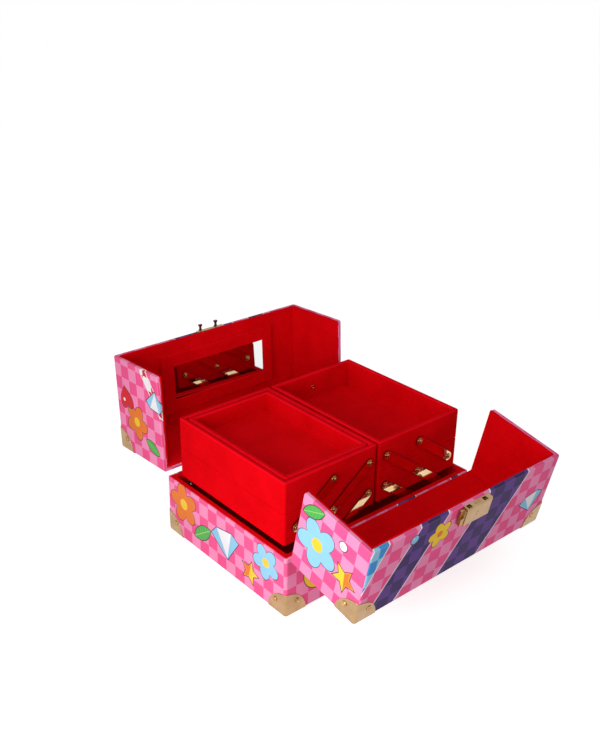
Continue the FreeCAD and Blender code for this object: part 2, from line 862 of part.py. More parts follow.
def tray_nodes(side):
    """Trays, rivets and arms on one side of the case."""
    name = SIDE_NAMES[side]
    nodes = {}
    for level, rank in enumerate(("lower", "upper")):
        nodes[f"{name}_{rank}_tray"] = tray(side, level)
        nodes[f"{name}_{rank}_tray_rivets"] = tray_rivets(side, level)
    for face, place in FACE_NAMES.items():
        for kind, pivots in ARMS.items():
            nodes[f"{name}_{place}_{kind}_arm"] = arm(side, face, pivots)
    return nodes


def as_one(shape):
    """A single shape from a piece or a group of pieces."""
    return Part.makeCompound(shape) if isinstance(shape, list) else shape


def build():
    """All nodes of the case, in the pose that it is stored in."""
    nodes = base_nodes()
    for face, fittings in ((BACK, back_lid_fittings()), (FRONT, front_lid_fittings())):
        for name, shape in {**lid_nodes(face), **fittings}.items():
            nodes[name] = swung_open(as_one(shape), face)
    for side in (LEFT, RIGHT):
        nodes.update(tray_nodes(side))
    nodes["left_tray_insert"] = tray_insert()
    return {name: as_one(shape) for name, shape in nodes.items()}


def main():
    """Write one STEP file for each node."""
    os.makedirs("parts", exist_ok=True)
    for name, shape in build().items():
        shape.exportStep(os.path.join("parts", name + ".step"))
        print(f"{name}: {len(shape.Solids)} solids, {shape.Volume:.1f} mm3, valid {shape.isValid()}")


main()
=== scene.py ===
"""Looks of a jewellery case with two lids, cantilever trays, a mirror and a push latch.

Lengths are in metres. X runs along the case, the latch lid opens to -Y and the mirror lid to +Y.
"""
import json
import logging
import math
from dataclasses import dataclass, field
from enum import Enum, auto
from typing import Callable, Optional, Sequence, Union

import bmesh
import bpy
import numpy as np
from mathutils import Matrix, Vector


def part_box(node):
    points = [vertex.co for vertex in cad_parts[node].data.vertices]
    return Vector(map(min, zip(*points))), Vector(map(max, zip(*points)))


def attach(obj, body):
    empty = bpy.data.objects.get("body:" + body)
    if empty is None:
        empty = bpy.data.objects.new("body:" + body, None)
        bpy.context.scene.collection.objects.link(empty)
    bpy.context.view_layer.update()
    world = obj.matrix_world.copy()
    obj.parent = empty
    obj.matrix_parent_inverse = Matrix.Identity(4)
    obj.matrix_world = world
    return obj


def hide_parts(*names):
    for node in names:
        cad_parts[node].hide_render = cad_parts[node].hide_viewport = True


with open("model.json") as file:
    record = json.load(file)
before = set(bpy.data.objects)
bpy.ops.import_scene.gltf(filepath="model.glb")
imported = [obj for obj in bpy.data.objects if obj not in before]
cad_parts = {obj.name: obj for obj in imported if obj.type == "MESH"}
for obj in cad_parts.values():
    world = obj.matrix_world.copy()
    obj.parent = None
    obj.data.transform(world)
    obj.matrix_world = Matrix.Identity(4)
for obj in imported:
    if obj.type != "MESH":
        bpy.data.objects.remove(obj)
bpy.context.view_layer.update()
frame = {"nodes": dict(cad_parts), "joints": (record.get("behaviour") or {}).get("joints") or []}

LOG = logging.getLogger("jewellery_case")

MM = 0.001
PRINT_UV = "print"
MERGE_DISTANCE = 0.002 * MM
SMOOTH_ANGLE = math.radians(38)
EASE_ANGLE = math.radians(50)
ROUND_STEPS = 4  # steps in half of a rounded edge
LATHE_STEPS = 28  # steps round a turned piece
ARM_STEPS = 25  # points on an arm's round end
GUARD_GRID = (33, 29)  # angles and reaches of the grid on one face of a guard
EDGE_SAMPLES = 6  # rays that look for a sharp edge nearby
LAYER_GAP = 0.05 * MM  # keeps the faces of neighbouring layers apart

Array = np.ndarray
Material = bpy.types.Material
Piece = bpy.types.Object
Socket = bpy.types.NodeSocket
Colour = tuple[float, float, float]
Paint = Union[Colour, Socket]
Number = Union[float, "Field"]
Move = Optional[Callable[[Array], Array]]


def linear(red: int, green: int, blue: int) -> Colour:
    """Turn a display colour into linear light.

    Args:
        red: Display value from 0 to 255.
        green: Display value from 0 to 255.
        blue: Display value from 0 to 255.

    Returns:
        The colour as shader sockets take it.
    """
    share = np.array([red, green, blue]) / 255.0
    light = np.where(share <= 0.04045, share / 12.92, ((share + 0.055) / 1.055) ** 2.4)
    return tuple(float(value) for value in light)


class Ink(Enum):
    """Colours of the print, the velvet and the metals."""

    LIGHT_PINK = linear(255, 148, 192)
    MID_PINK = linear(250, 90, 148)
    LIGHT_VIOLET = linear(98, 64, 138)
    DARK_VIOLET = linear(66, 45, 98)
    WHITE = linear(250, 246, 248)
    OUTLINE = linear(48, 26, 58)
    YELLOW = linear(252, 210, 60)
    ORANGE = linear(244, 128, 52)
    RED = linear(226, 44, 52)
    GREEN = linear(84, 178, 84)
    PALE_GREEN = linear(168, 216, 120)
    SKY = linear(150, 208, 240)
    BLUE = linear(70, 150, 218)
    VELVET_LIGHT = linear(231, 2, 16)
    VELVET_DEEP = linear(216, 0, 10)
    VELVET_SHEEN = linear(255, 36, 40)
    # Painted highlight: paler velvet for the rims that face upwards, where the light falls.
    VELVET_EDGE = linear(250, 8, 34)
    VELVET_EDGE_DEEP = linear(240, 4, 24)
    GILT = linear(180, 150, 112)
    GILT_DEEP = linear(164, 132, 93)
    POLISHED_GILT = linear(240, 214, 166)
    POLISHED_GILT_DEEP = linear(222, 188, 132)
    BRONZE = linear(190, 150, 96)
    BRONZE_DEEP = linear(150, 112, 66)
    # Painted dark reflection on the keeper's hooks and the arms' cut edges.
    UMBER = linear(104, 38, 36)
    UMBER_DEEP = linear(76, 22, 24)
    STEEL = linear(176, 178, 182)
    STEEL_DEEP = linear(150, 152, 158)
    SILVERING = linear(240, 243, 243)
    SILVERING_DEEP = linear(232, 236, 237)
    BOARD = linear(190, 160, 122)
    BOARD_DEEP = linear(164, 132, 96)
    FELT = linear(72, 66, 74)
    FELT_DEEP = linear(52, 48, 56)


# Arrays of points


def quarter(middle: Sequence[float], radius: float, start: float, stop: float,
            steps: int = 2 * ROUND_STEPS) -> Array:
    """Points on an arc: the middle plus the radius times cosine and sine of evenly spaced angles.

    Args:
        middle: Middle of the arc in two dimensions.
        radius: Radius of the arc.
        start: First angle in degrees.
        stop: Last angle in degrees.
        steps: Number of steps along the arc.

    Returns:
        An array of (steps + 1, 2).
    """
    angle = np.radians(np.linspace(start, stop, steps + 1))
    return np.asarray(middle) + radius * np.stack([np.cos(angle), np.sin(angle)], axis=-1)


def run_length(points: Array) -> Array:
    """Measure the distance along a line of points from its first one.

    Args:
        points: Array of (count, dimensions).

    Returns:
        An array of (count,), starting at zero.
    """
    step = np.linalg.norm(np.diff(points, axis=0), axis=-1)
    return np.concatenate([[0.0], np.cumsum(step)])


def edge_stations(low: float, high: float, low_radius: float, high_radius: float) -> Array:
    """Place grid lines across a panel, close together where its edge is rounded.

    A line at angle a of the rounded edge stands at the radius times tan(a) past the flat part,
    for angles from 0 to 45 degrees.

    Args:
        low: Lower end of the panel.
        high: Upper end of the panel.
        low_radius: Radius of the rounding at the lower end.
        high_radius: Radius of the rounding at the upper end.

    Returns:
        The stations in rising order.
    """
    rise = np.tan(np.radians(np.linspace(0, 45, ROUND_STEPS + 1)))
    return np.concatenate([low + low_radius * (1 - rise[::-1]), high - high_radius * (1 - rise)])


@dataclass(frozen=True)
class RoundedRing:
    """A rectangle with rounded corners, as a closed path that can be drawn inwards.

    Attributes:
        half_x: Half its length.
        half_y: Half its width.
        radius: Radius of its corners.
    """

    half_x: float
    half_y: float
    radius: float

    def at(self, offsets: Array) -> Array:
        """Draw the path in by each offset.

        A corner is an arc of the radius less the offset, about a middle that is set in by the
        larger of the two. The sides between corners are straight.

        Args:
            offsets: How far each copy of the path is drawn in.

        Returns:
            An array of (offsets, points on the path, 2), anticlockwise from +X.
        """
        reach = np.maximum(self.radius, offsets)[:, None, None]
        bend = np.maximum(self.radius - offsets, 0.0)[:, None, None]
        signs = np.array([[1, 1], [-1, 1], [-1, -1], [1, -1]])
        angle = np.radians(90.0 * np.arange(4)[:, None] + np.linspace(0, 90, 2 * ROUND_STEPS + 1)[None])
        arc_x = signs[:, :1] * (self.half_x - reach) + bend * np.cos(angle)
        arc_y = signs[:, 1:] * (self.half_y - reach) + bend * np.sin(angle)
        return np.stack([arc_x, arc_y], axis=-1).reshape(len(offsets), -1, 2)

    def swept(self, middle: Sequence[float], profile: Array) -> Array:
        """Carry a profile along the path.

        Args:
            middle: X and Y of the ring's middle.
            profile: Array of (count, 2): how far in from the path, and the height.

        Returns:
            An array of (count, points on the path, 3).
        """
        flat = self.at(profile[:, 0]) + np.asarray(middle)[:2]
        height = np.broadcast_to(profile[:, None, 1:], flat.shape[:2] + (1,))
        return np.concatenate([flat, height], axis=-1)

    def print_places(self, profile: Array) -> Array:
        """Place the print on a swept ring: the distance round the path, and along the profile.

        Args:
            profile: The swept profile.

        Returns:
            An array of (count, points on the path + 1, 2), in millimetres.
        """
        loop = self.at(np.zeros(1))[0]
        around = run_length(np.concatenate([loop, loop[:1]]))
        along = run_length(profile)
        return np.stack(np.meshgrid(around, along), axis=-1) / MM


def u_path(offsets: Array, half_width: float, tips: Array, edge: float,
           radius: float) -> Array:
    """Draw a U: down one leg, round two corners and up the other leg, drawn in by each offset.

    A corner is an arc of the radius less the offset, about a middle set in by the larger of the two.

    Args:
        offsets: How far each copy is drawn in.
        half_width: Half the width over the legs.
        tips: Where the legs of each copy end.
        edge: Where the U's bottom is.
        radius: Radius of the two corners.

    Returns:
        An array of (offsets, points, 2) from the leg at -X to the leg at +X.
    """
    reach = np.maximum(radius, offsets)[:, None]
    bend = np.maximum(radius - offsets, 0.0)[:, None]
    turn = np.radians(np.linspace(180, 90, 2 * ROUND_STEPS + 1))[None]
    rise = edge - reach + bend * np.sin(turn)
    left = np.stack([-half_width + reach + bend * np.cos(turn), rise], axis=-1)
    right = left[:, ::-1] * np.array([-1.0, 1.0])
    start = np.stack([-half_width + offsets, tips], axis=-1)[:, None]
    return np.concatenate([start, left, right, start * np.array([-1.0, 1.0])], axis=1)


def fold_profile(radius: float, width: float, tuck: float) -> Array:
    """Section of a cover folded over a board's edge: round, flat, round, and a tuck down the inside.

    Args:
        radius: Radius of the two round edges.
        width: Thickness of the board with its cover.
        tuck: How far the fold goes down the inside.

    Returns:
        An array of (count, 2): how far in from the outer face, and how far from the rim.
    """
    return np.concatenate([
        quarter((radius, radius), radius, 180, 270, ROUND_STEPS),
        quarter((width - radius, radius), radius, 270, 360, ROUND_STEPS),
        [[width, radius + tuck]],
    ])


# Meshes


@dataclass
class Surface:
    """A mesh under construction, gathered from grids of points and flat caps.

    Attributes:
        points: Arrays of points gathered so far.
        faces: Faces gathered so far, as lists of point numbers.
        places: Print place of each face corner gathered so far.
        slots: Material slot of each face gathered so far.
        count: Number of points gathered so far.
    """

    points: list[Array] = field(default_factory=list)
    faces: list[list[int]] = field(default_factory=list)
    places: list[Array] = field(default_factory=list)
    slots: list[Array] = field(default_factory=list)
    count: int = 0

    def grid(self, points: Array, places: Optional[Array] = None, slot: int = 0,
             close_rows: bool = False, close_columns: bool = False) -> None:
        """Add a grid of quads, whose corners are neighbouring points of the grid.

        Args:
            points: Array of (rows, columns, 3).
            places: Print places of (rows, columns, 2), with one more row or column where closed.
            slot: Material slot of its faces.
            close_rows: Whether the last row joins the first.
            close_columns: Whether the last column joins the first.
        """
        rows, columns = points.shape[:2]
        number = self.count + np.arange(rows * columns).reshape(rows, columns)
        number = np.concatenate([number, number[:1]]) if close_rows else number
        number = np.concatenate([number, number[:, :1]], axis=1) if close_columns else number
        corners = [np.s_[:-1, :-1], np.s_[1:, :-1], np.s_[1:, 1:], np.s_[:-1, 1:]]
        quads = np.stack([number[c] for c in corners], axis=-1).reshape(-1, 4)
        places = np.zeros(number.shape + (2,)) if places is None else places
        self.places.append(np.stack([places[c] for c in corners], axis=2).reshape(-1, 2))
        self.points.append(points.reshape(-1, 3))
        self.faces.extend(quads.tolist())
        self.slots.append(np.full(len(quads), slot))
        self.count += rows * columns

    def cap(self, loop: Array) -> None:
        """Add one flat face round a loop of points, in the first material slot.

        Args:
            loop: Array of (count, 3).
        """
        self.points.append(loop)
        self.faces.append(list(range(self.count, self.count + len(loop))))
        self.places.append(np.zeros((len(loop), 2)))
        self.slots.append(np.zeros(1, dtype=int))
        self.count += len(loop)

    def tube(self, loops: Array, slot: int = 0) -> None:
        """Add a grid that is closed round each loop, with a flat cap inside its first and its last loop.

        Args:
            loops: Array of (loops, points on a loop, 3).
            slot: Material slot of the grid.
        """
        self.grid(loops, slot=slot, close_columns=True)
        self.cap(loops[0])
        self.cap(loops[-1])

    def build(self, name: str, materials: Sequence[Material],
              move: Move = None) -> Piece:
        """Make the object: seams merged, faces turned outwards and shading smooth between sharp edges.

        Args:
            name: Name of the piece.
            materials: Materials by slot.
            move: Moves all points to their place in the frame.

        Returns:
            The new object, at the origin.
        """
        points = np.concatenate(self.points)
        points = points if move is None else move(points)
        mesh = bpy.data.meshes.new(name)
        mesh.from_pydata(points.tolist(), [], self.faces)
        layer = mesh.uv_layers.new(name=PRINT_UV)
        layer.data.foreach_set("uv", np.concatenate(self.places).astype(np.float32).ravel())
        mesh.polygons.foreach_set("material_index", np.concatenate(self.slots).astype(np.int32))
        work = bmesh.new()
        work.from_mesh(mesh)
        bmesh.ops.remove_doubles(work, verts=work.verts, dist=MERGE_DISTANCE)
        bmesh.ops.dissolve_degenerate(work, edges=work.edges, dist=MERGE_DISTANCE)
        bmesh.ops.recalc_face_normals(work, faces=work.faces)
        work.to_mesh(mesh)
        work.free()
        mesh.polygons.foreach_set("use_smooth", np.ones(len(mesh.polygons), dtype=bool))
        mesh.set_sharp_from_angle(angle=SMOOTH_ANGLE)
        for material in materials:
            mesh.materials.append(material)
        piece = bpy.data.objects.new(name, mesh)
        bpy.context.scene.collection.objects.link(piece)
        return piece


def modified(piece: Piece, kind: str, **settings: object) -> Piece:
    """Add a modifier to a piece.

    Args:
        piece: Object to work on.
        kind: Type of the modifier.
        settings: Properties of the modifier to set.

    Returns:
        The same object.
    """
    modifier = piece.modifiers.new(kind.lower(), kind)
    for name, value in settings.items():
        setattr(modifier, name, value)
    return piece


def thickened(piece: Piece, thickness: float) -> Piece:
    """Give an open skin its thickness, against its normals."""
    return modified(piece, "SOLIDIFY", thickness=thickness, offset=-1.0, use_even_offset=True)


def eased(piece: Piece, width: float) -> Piece:
    """Round the sharp edges of a piece with two faces."""
    return modified(piece, "BEVEL", width=width, segments=2, limit_method="ANGLE", angle_limit=EASE_ANGLE)


def evened(piece: Piece) -> Piece:
    """Shade large flat faces flat by weighting normals with face area."""
    return modified(piece, "WEIGHTED_NORMAL", keep_sharp=True)


def placed(piece: Piece, body: str, slot: str, *nodes: str) -> Piece:
    """Let a piece ride on a body and stand for its CAD nodes.

    Args:
        piece: New object.
        body: Body that it moves with.
        slot: Name of a material slot of the record; not used.
        nodes: CAD nodes that it stands for.

    Returns:
        The same object.
    """
    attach(piece, body)
    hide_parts(*nodes)
    LOG.info("%s rides on %s and stands for %s", piece.name, body, ", ".join(nodes))
    return piece


# Finishes


class Field:
    """A number that varies over a surface: a node socket with arithmetic."""

    def __init__(self, tree: bpy.types.NodeTree, socket: Socket) -> None:
        """Keep the socket and the tree that it belongs to."""
        self.tree = tree
        self.socket = socket

    def math(self, operation: str, *others: Number, clamp: bool = False) -> "Field":
        """Combine this value with others in one Math node.

        Args:
            operation: Name of the node's operation.
            others: The node's further inputs.
            clamp: Whether the result is kept from 0 to 1.

        Returns:
            The result.
        """
        node = self.tree.nodes.new("ShaderNodeMath")
        node.operation = operation
        node.use_clamp = clamp
        for place, value in enumerate((self, *others)):
            put(node.inputs[place], value)
        return Field(self.tree, node.outputs[0])

    def __add__(self, other: Number) -> "Field":
        """Add."""
        return self.math("ADD", other)

    def __sub__(self, other: Number) -> "Field":
        """Subtract."""
        return self.math("SUBTRACT", other)

    def __mul__(self, other: Number) -> "Field":
        """Multiply."""
        return self.math("MULTIPLY", other)

    def __abs__(self) -> "Field":
        """Drop the sign."""
        return self.math("ABSOLUTE")

    def larger(self, other: Number) -> "Field":
        """Take the larger of two values."""
        return self.math("MAXIMUM", other)

    def beside(self, other: "Field") -> "Field":
        """Length of a vector with this value and another as its sides."""
        return (self * self + other * other).math("SQRT")


def put(socket: Socket, value: Union[float, Sequence[float], Socket, Field]) -> None:
    """Link a source to a socket, or set a constant on it.

    Args:
        socket: Socket of a node.
        value: A socket or a field to link, or a constant.
    """
    source = value.socket if isinstance(value, Field) else value
    if isinstance(source, Socket):
        socket.id_data.links.new(source, socket)
    else:
        socket.default_value = source


class Bench:
    """A new material with one principled shader, and short ways to add nodes to it."""

    def __init__(self, name: str) -> None:
        """Make the material with its shader and its output.

        Args:
            name: Name of the material.
        """
        self.material = bpy.data.materials.new(name)
        self.material.use_nodes = True
        self.tree = self.material.node_tree
        self.tree.nodes.clear()
        self.shader = self.add("ShaderNodeBsdfPrincipled")
        self.add("ShaderNodeOutputMaterial", {"Surface": self.shader.outputs["BSDF"]})

    def add(self, kind: str, inputs: Optional[dict[str, object]] = None,
            **settings: object) -> bpy.types.Node:
        """Add a node.

        Args:
            kind: Type of the node.
            inputs: Constants, sockets or fields for its own sockets.
            settings: Properties of the node to set.

        Returns:
            The node.
        """
        node = self.tree.nodes.new(kind)
        for name, value in settings.items():
            setattr(node, name, value)
        for name, value in (inputs or {}).items():
            put(node.inputs[name], value)
        return node

    def feed(self, **values: object) -> None:
        """Set constants on the shader or link to it, with sockets named with underscores for spaces."""
        for name, value in values.items():
            put(self.shader.inputs[name.replace("_", " ")], value)

    def object_place(self) -> Socket:
        """Place on the piece in metres."""
        return self.add("ShaderNodeTexCoord").outputs["Object"]

    def print_place(self) -> Socket:
        """Place on the print in millimetres."""
        return self.add("ShaderNodeUVMap", uv_map=PRINT_UV).outputs["UV"]

    def parts(self, vector: Socket) -> tuple[Field, Field, Field]:
        """Split a vector into its three numbers.

        Args:
            vector: Vector to split.

        Returns:
            Its X, Y and Z.
        """
        node = self.add("ShaderNodeSeparateXYZ", {"Vector": vector})
        return tuple(Field(self.tree, output) for output in node.outputs)

    def noise(self, grain: float, detail: float = 3.0,
              stretch: Sequence[float] = (1.0, 1.0, 1.0)) -> Field:
        """Soft noise over the piece.

        Args:
            grain: Size of its blotches in metres.
            detail: How much finer noise is added.
            stretch: How much longer the blotches are along each axis.

        Returns:
            Values about one half.
        """
        scale = [1.0 / (grain * length) for length in stretch]
        mapping = self.add("ShaderNodeMapping", {"Vector": self.object_place(), "Scale": scale})
        place = mapping.outputs["Vector"]
        node = self.add("ShaderNodeTexNoise", {"Vector": place, "Scale": 1.0, "Detail": detail})
        return Field(self.tree, node.outputs["Fac"])

    def span(self, value: Field, low: float, high: float, start: float = 0.3, stop: float = 0.7) -> Field:
        """Map a value from one span to another, without going past its ends.

        Args:
            value: Value to map.
            low: Result at the start.
            high: Result at the stop.
            start: Where the first span starts.
            stop: Where the first span stops.

        Returns:
            The mapped value.
        """
        node = self.add("ShaderNodeMapRange", {
            "Value": value, "From Min": start, "From Max": stop, "To Min": low, "To Max": high,
        })
        return Field(self.tree, node.outputs["Result"])

    def mixed(self, share: Field, low: Paint, high: Paint) -> Socket:
        """Mix two colours.

        Args:
            share: Share of the second colour.
            low: First colour, or a socket that gives it.
            high: Second colour, or a socket that gives it.

        Returns:
            The mixed colour.
        """
        node = self.add("ShaderNodeMix", {"Factor": share}, data_type="RGBA")
        colours = [socket for socket in node.inputs if socket.type == "RGBA"]
        for socket, colour in zip(colours, (low, high)):
            put(socket, colour if isinstance(colour, Socket) else (*colour, 1.0))
        return next(output for output in node.outputs if output.type == "RGBA")

    def bump(self, height: Field, depth: float, strength: float, edge: float = 0.0) -> None:
        """Raise the surface by a height that varies from 0 to 1.

        Args:
            height: Height over the surface.
            depth: Height in metres that 1 stands for.
            strength: Share of the bump that shows.
            edge: Radius in metres that sharp edges are shaded with, if any.
        """
        inputs = {"Distance": depth, "Strength": strength, "Height": height}
        if edge:
            rounding = self.add("ShaderNodeBevel", {"Radius": edge}, samples=EDGE_SAMPLES)
            inputs["Normal"] = rounding.outputs["Normal"]
        self.feed(Normal=self.add("ShaderNodeBump", inputs).outputs["Normal"])


@dataclass(frozen=True)
class Velvet:
    """Short red pile: deep in the shade, brushed in soft patches, with a sheen at a flat angle.

    Attributes:
        name: Name of the material.
        light: Colour of brushed pile.
        deep: Colour of pile that leans away.
        patch: Size of the brushed patches.
        streak: Size of the streaks in them.
        pile: Size of the pile's grain.
        depth: Height of the pile.
    """

    name: str = "red_velvet"
    light: Ink = Ink.VELVET_LIGHT
    deep: Ink = Ink.VELVET_DEEP
    patch: float = 30.0 * MM
    streak: float = 4.0 * MM
    pile: float = 0.45 * MM
    depth: float = 0.25 * MM

    def material(self) -> Material:
        """Make the material.

        Returns:
            Velvet with patches, streaks and the pile's grain.
        """
        bench = Bench(self.name)
        patches = bench.noise(self.patch)
        streaks = bench.noise(self.streak, 4.0)
        shade = bench.span(patches * 0.6 + streaks * 0.4, 0.0, 1.0, 0.38, 0.62)
        bench.feed(Base_Color=bench.mixed(shade, self.deep.value, self.light.value))
        bench.feed(Roughness=bench.span(streaks, 0.82, 1.0))
        bench.feed(Specular_IOR_Level=0.03, Sheen_Weight=0.24, Sheen_Roughness=0.42,
                   Sheen_Tint=(*Ink.VELVET_SHEEN.value, 1.0))
        grain = bench.noise(self.pile)
        bench.bump(grain * 0.7 + streaks * 0.3, self.depth, 0.35)
        return bench.material


@dataclass(frozen=True)
class Metal:
    """Plated metal with faint draw lines, soft tarnish and edges that catch the light.

    Attributes:
        name: Name of the material.
        bright: Colour of clean metal.
        dull: Colour where it is a little tarnished.
        gloss: Roughness at its smoothest.
        haze: Roughness at its dullest.
        edge: Radius that sharp edges are shaded with.
        draw: How much longer its draw lines are along each axis.
        patch: Size of the tarnished patches.
        line: Width of the draw lines.
        depth: Depth of the draw lines.
    """

    name: str
    bright: Ink
    dull: Ink
    gloss: float
    haze: float
    edge: float = 0.25 * MM
    draw: tuple[float, float, float] = (12.0, 1.0, 1.0)
    patch: float = 12.0 * MM
    line: float = 0.3 * MM
    depth: float = 0.02 * MM

    def material(self) -> Material:
        """Make the material.

        Returns:
            Metal with patches and draw lines.
        """
        bench = Bench(self.name)
        patches = bench.noise(self.patch)
        lines = bench.noise(self.line, 2.0, self.draw)
        tarnish = bench.span(patches * 0.75 + lines * 0.25, 0.0, 1.0, 0.35, 0.68)
        bench.feed(Base_Color=bench.mixed(tarnish, self.bright.value, self.dull.value))
        bench.feed(Roughness=bench.span(patches * 0.5 + lines * 0.5, self.gloss, self.haze))
        bench.feed(Metallic=1.0)
        bench.bump(lines, self.depth, 0.25, self.edge)
        return bench.material


@dataclass(frozen=True)
class MirrorSilver:
    """Silvered glass with faint wipe marks.

    Attributes:
        name: Name of the material.
        wipe: Size of the wipe marks.
    """

    name: str = "mirror_silver"
    wipe: float = 20.0 * MM

    def material(self) -> Material:
        """Make the material.

        Returns:
            A clear mirror whose wipe marks are only just duller.
        """
        bench = Bench(self.name)
        wipes = bench.noise(self.wipe, stretch=(3.0, 1.0, 1.0))
        bench.feed(Base_Color=bench.mixed(wipes, Ink.SILVERING.value, Ink.SILVERING_DEEP.value))
        bench.feed(Roughness=bench.span(wipes, 0.0, 0.03))
        bench.feed(Metallic=1.0, Coat_Weight=0.3, Coat_Roughness=0.02)
        return bench.material


@dataclass(frozen=True)
class Fibre:
    """Pressed fibres, such as board or felt.

    Attributes:
        name: Name of the material.
        light: Lighter fibres.
        deep: Darker fibres.
        grain: Size of the fibres.
        depth: Height of the fibres.
    """

    name: str
    light: Ink
    deep: Ink
    grain: float
    depth: float

    def material(self) -> Material:
        """Make the material.

        Returns:
            Rough fibres with patches ten times their size.
        """
        bench = Bench(self.name)
        fibres = bench.noise(self.grain, 4.0)
        patches = bench.noise(self.grain * 10)
        shade = bench.span(fibres * 0.6 + patches * 0.4, 0.0, 1.0)
        bench.feed(Base_Color=bench.mixed(shade, self.light.value, self.deep.value))
        bench.feed(Roughness=bench.span(fibres, 0.8, 1.0))
        bench.bump(fibres, self.depth, 0.6)
        return bench.material


# Printed leatherette


class Shape(Enum):
    """Small figures of the print."""

    STAR = auto()
    HEART = auto()
    GEM = auto()
    LEAF = auto()
    FLOWER = auto()
    MOON = auto()
    PEARL = auto()


@dataclass(frozen=True)
class Sketch:
    """The plane that a figure of size 1 is drawn on.

    Attributes:
        x: Place across the figure.
        y: Place up the figure.
    """

    x: Field
    y: Field

    def star(self) -> tuple[Field, Field]:
        """Five points: the angle is folded into one half point, whose edge is a straight line.

        Returns:
            Distance outside the figure, and outside its darker half.
        """
        x, y = self.x, self.y
        inner, corner = 0.46, math.pi / 5
        reach = x.beside(y)
        fold = x.math("ARCTAN2", y).math("PINGPONG", corner)
        normal = np.array([inner * math.sin(corner), 1 - inner * math.cos(corner)])
        across, along = normal / np.linalg.norm(normal)
        aside = (reach * fold.math("COSINE") - 1.0) * float(across)
        return aside + reach * fold.math("SINE") * float(along), x

    def heart(self) -> tuple[Field, Field]:
        """A circle whose height is lifted by the root of the distance from the middle line.

        Returns:
            Distance outside the figure, and outside its light spot.
        """
        x, y = self.x, self.y
        lift = abs(x).math("SQRT") * 0.72
        edge = x.beside(y * 1.12 - lift + 0.2) - 0.86
        return edge, (x + 0.36).beside(y - 0.26) - 0.17

    def gem(self) -> tuple[Field, Field]:
        """A cut stone: the largest of the distances from its table, its crown and its pavilion.

        Returns:
            Distance outside the figure, and outside its middle facet.
        """
        x, y = self.x, self.y
        side = abs(x)
        crown = side * 0.61 + y * 0.79 - 0.69
        pavilion = side * 0.72 - y * 0.69 - 0.66
        edge = crown.larger(pavilion).larger(y - 0.45)
        return edge, side - (y + 0.95) * 0.4

    def leaf(self) -> tuple[Field, Field]:
        """Two arcs that meet in points above and below.

        Returns:
            Distance outside the figure, and outside its veins.
        """
        x, y = self.x, self.y
        side = abs(x)
        edge = (side + 0.91).beside(y) - 1.352
        veins = (y - side * 0.9).math("PINGPONG", 0.16) - 0.035
        return edge, veins.math("MINIMUM", side - 0.05)

    def flower(self) -> tuple[Field, Field]:
        """Five petals: the reach swings with the cosine of two and a half times the angle.

        Returns:
            Distance outside the figure, and outside its middle.
        """
        x, y = self.x, self.y
        reach = x.beside(y)
        swing = abs((x.math("ARCTAN2", y) * 2.5).math("COSINE"))
        return reach - swing * 0.4 - 0.6, reach - 0.28

    def moon(self) -> tuple[Field, Field]:
        """A disc less a smaller disc beside its middle.

        Returns:
            Distance outside the figure, and outside its spot.
        """
        x, y = self.x, self.y
        bite = (x - 0.46).beside(y - 0.1) * -1.0 + 0.8
        return (x.beside(y) - 1.0).larger(bite), (x + 0.62).beside(y + 0.18) - 0.13

    def pearl(self) -> tuple[Field, Field]:
        """A disc.

        Returns:
            Distance outside the figure, and outside its light spot.
        """
        x, y = self.x, self.y
        return x.beside(y) - 1.0, (x + 0.3).beside(y - 0.32) - 0.3


DRAWN: dict[Shape, Callable[[Sketch], tuple[Field, Field]]] = {
    Shape.STAR: Sketch.star, Shape.HEART: Sketch.heart, Shape.GEM: Sketch.gem, Shape.LEAF: Sketch.leaf,
    Shape.FLOWER: Sketch.flower, Shape.MOON: Sketch.moon, Shape.PEARL: Sketch.pearl,
}
USUAL_INKS: dict[Shape, tuple[Ink, Ink]] = {
    Shape.STAR: (Ink.YELLOW, Ink.ORANGE), Shape.HEART: (Ink.RED, Ink.WHITE),
    Shape.GEM: (Ink.SKY, Ink.WHITE), Shape.LEAF: (Ink.GREEN, Ink.PALE_GREEN),
    Shape.FLOWER: (Ink.ORANGE, Ink.YELLOW), Shape.MOON: (Ink.YELLOW, Ink.ORANGE),
    Shape.PEARL: (Ink.SKY, Ink.WHITE),
}


@dataclass(frozen=True)
class Figure:
    """One small figure on a panel, in millimetres of the panel.

    Attributes:
        shape: What it is.
        at: Place of its middle.
        size: Half its width, about.
        turn: Its turn in degrees.
        inks: Its main colour and the colour of its detail, if not the usual ones.
    """

    shape: Shape
    at: tuple[float, float]
    size: float
    turn: float
    inks: Optional[tuple[Ink, Ink]] = None


@dataclass(frozen=True)
class Band:
    """A round-ended checked band across a panel, in millimetres of the panel.

    Attributes:
        start: Middle of its first end.
        stop: Middle of its other end.
        width: Its width.
        light: Colour of its lighter squares.
        dark: Colour of its darker squares.
    """

    start: tuple[float, float]
    stop: tuple[float, float]
    width: float
    light: Ink = Ink.LIGHT_VIOLET
    dark: Ink = Ink.DARK_VIOLET


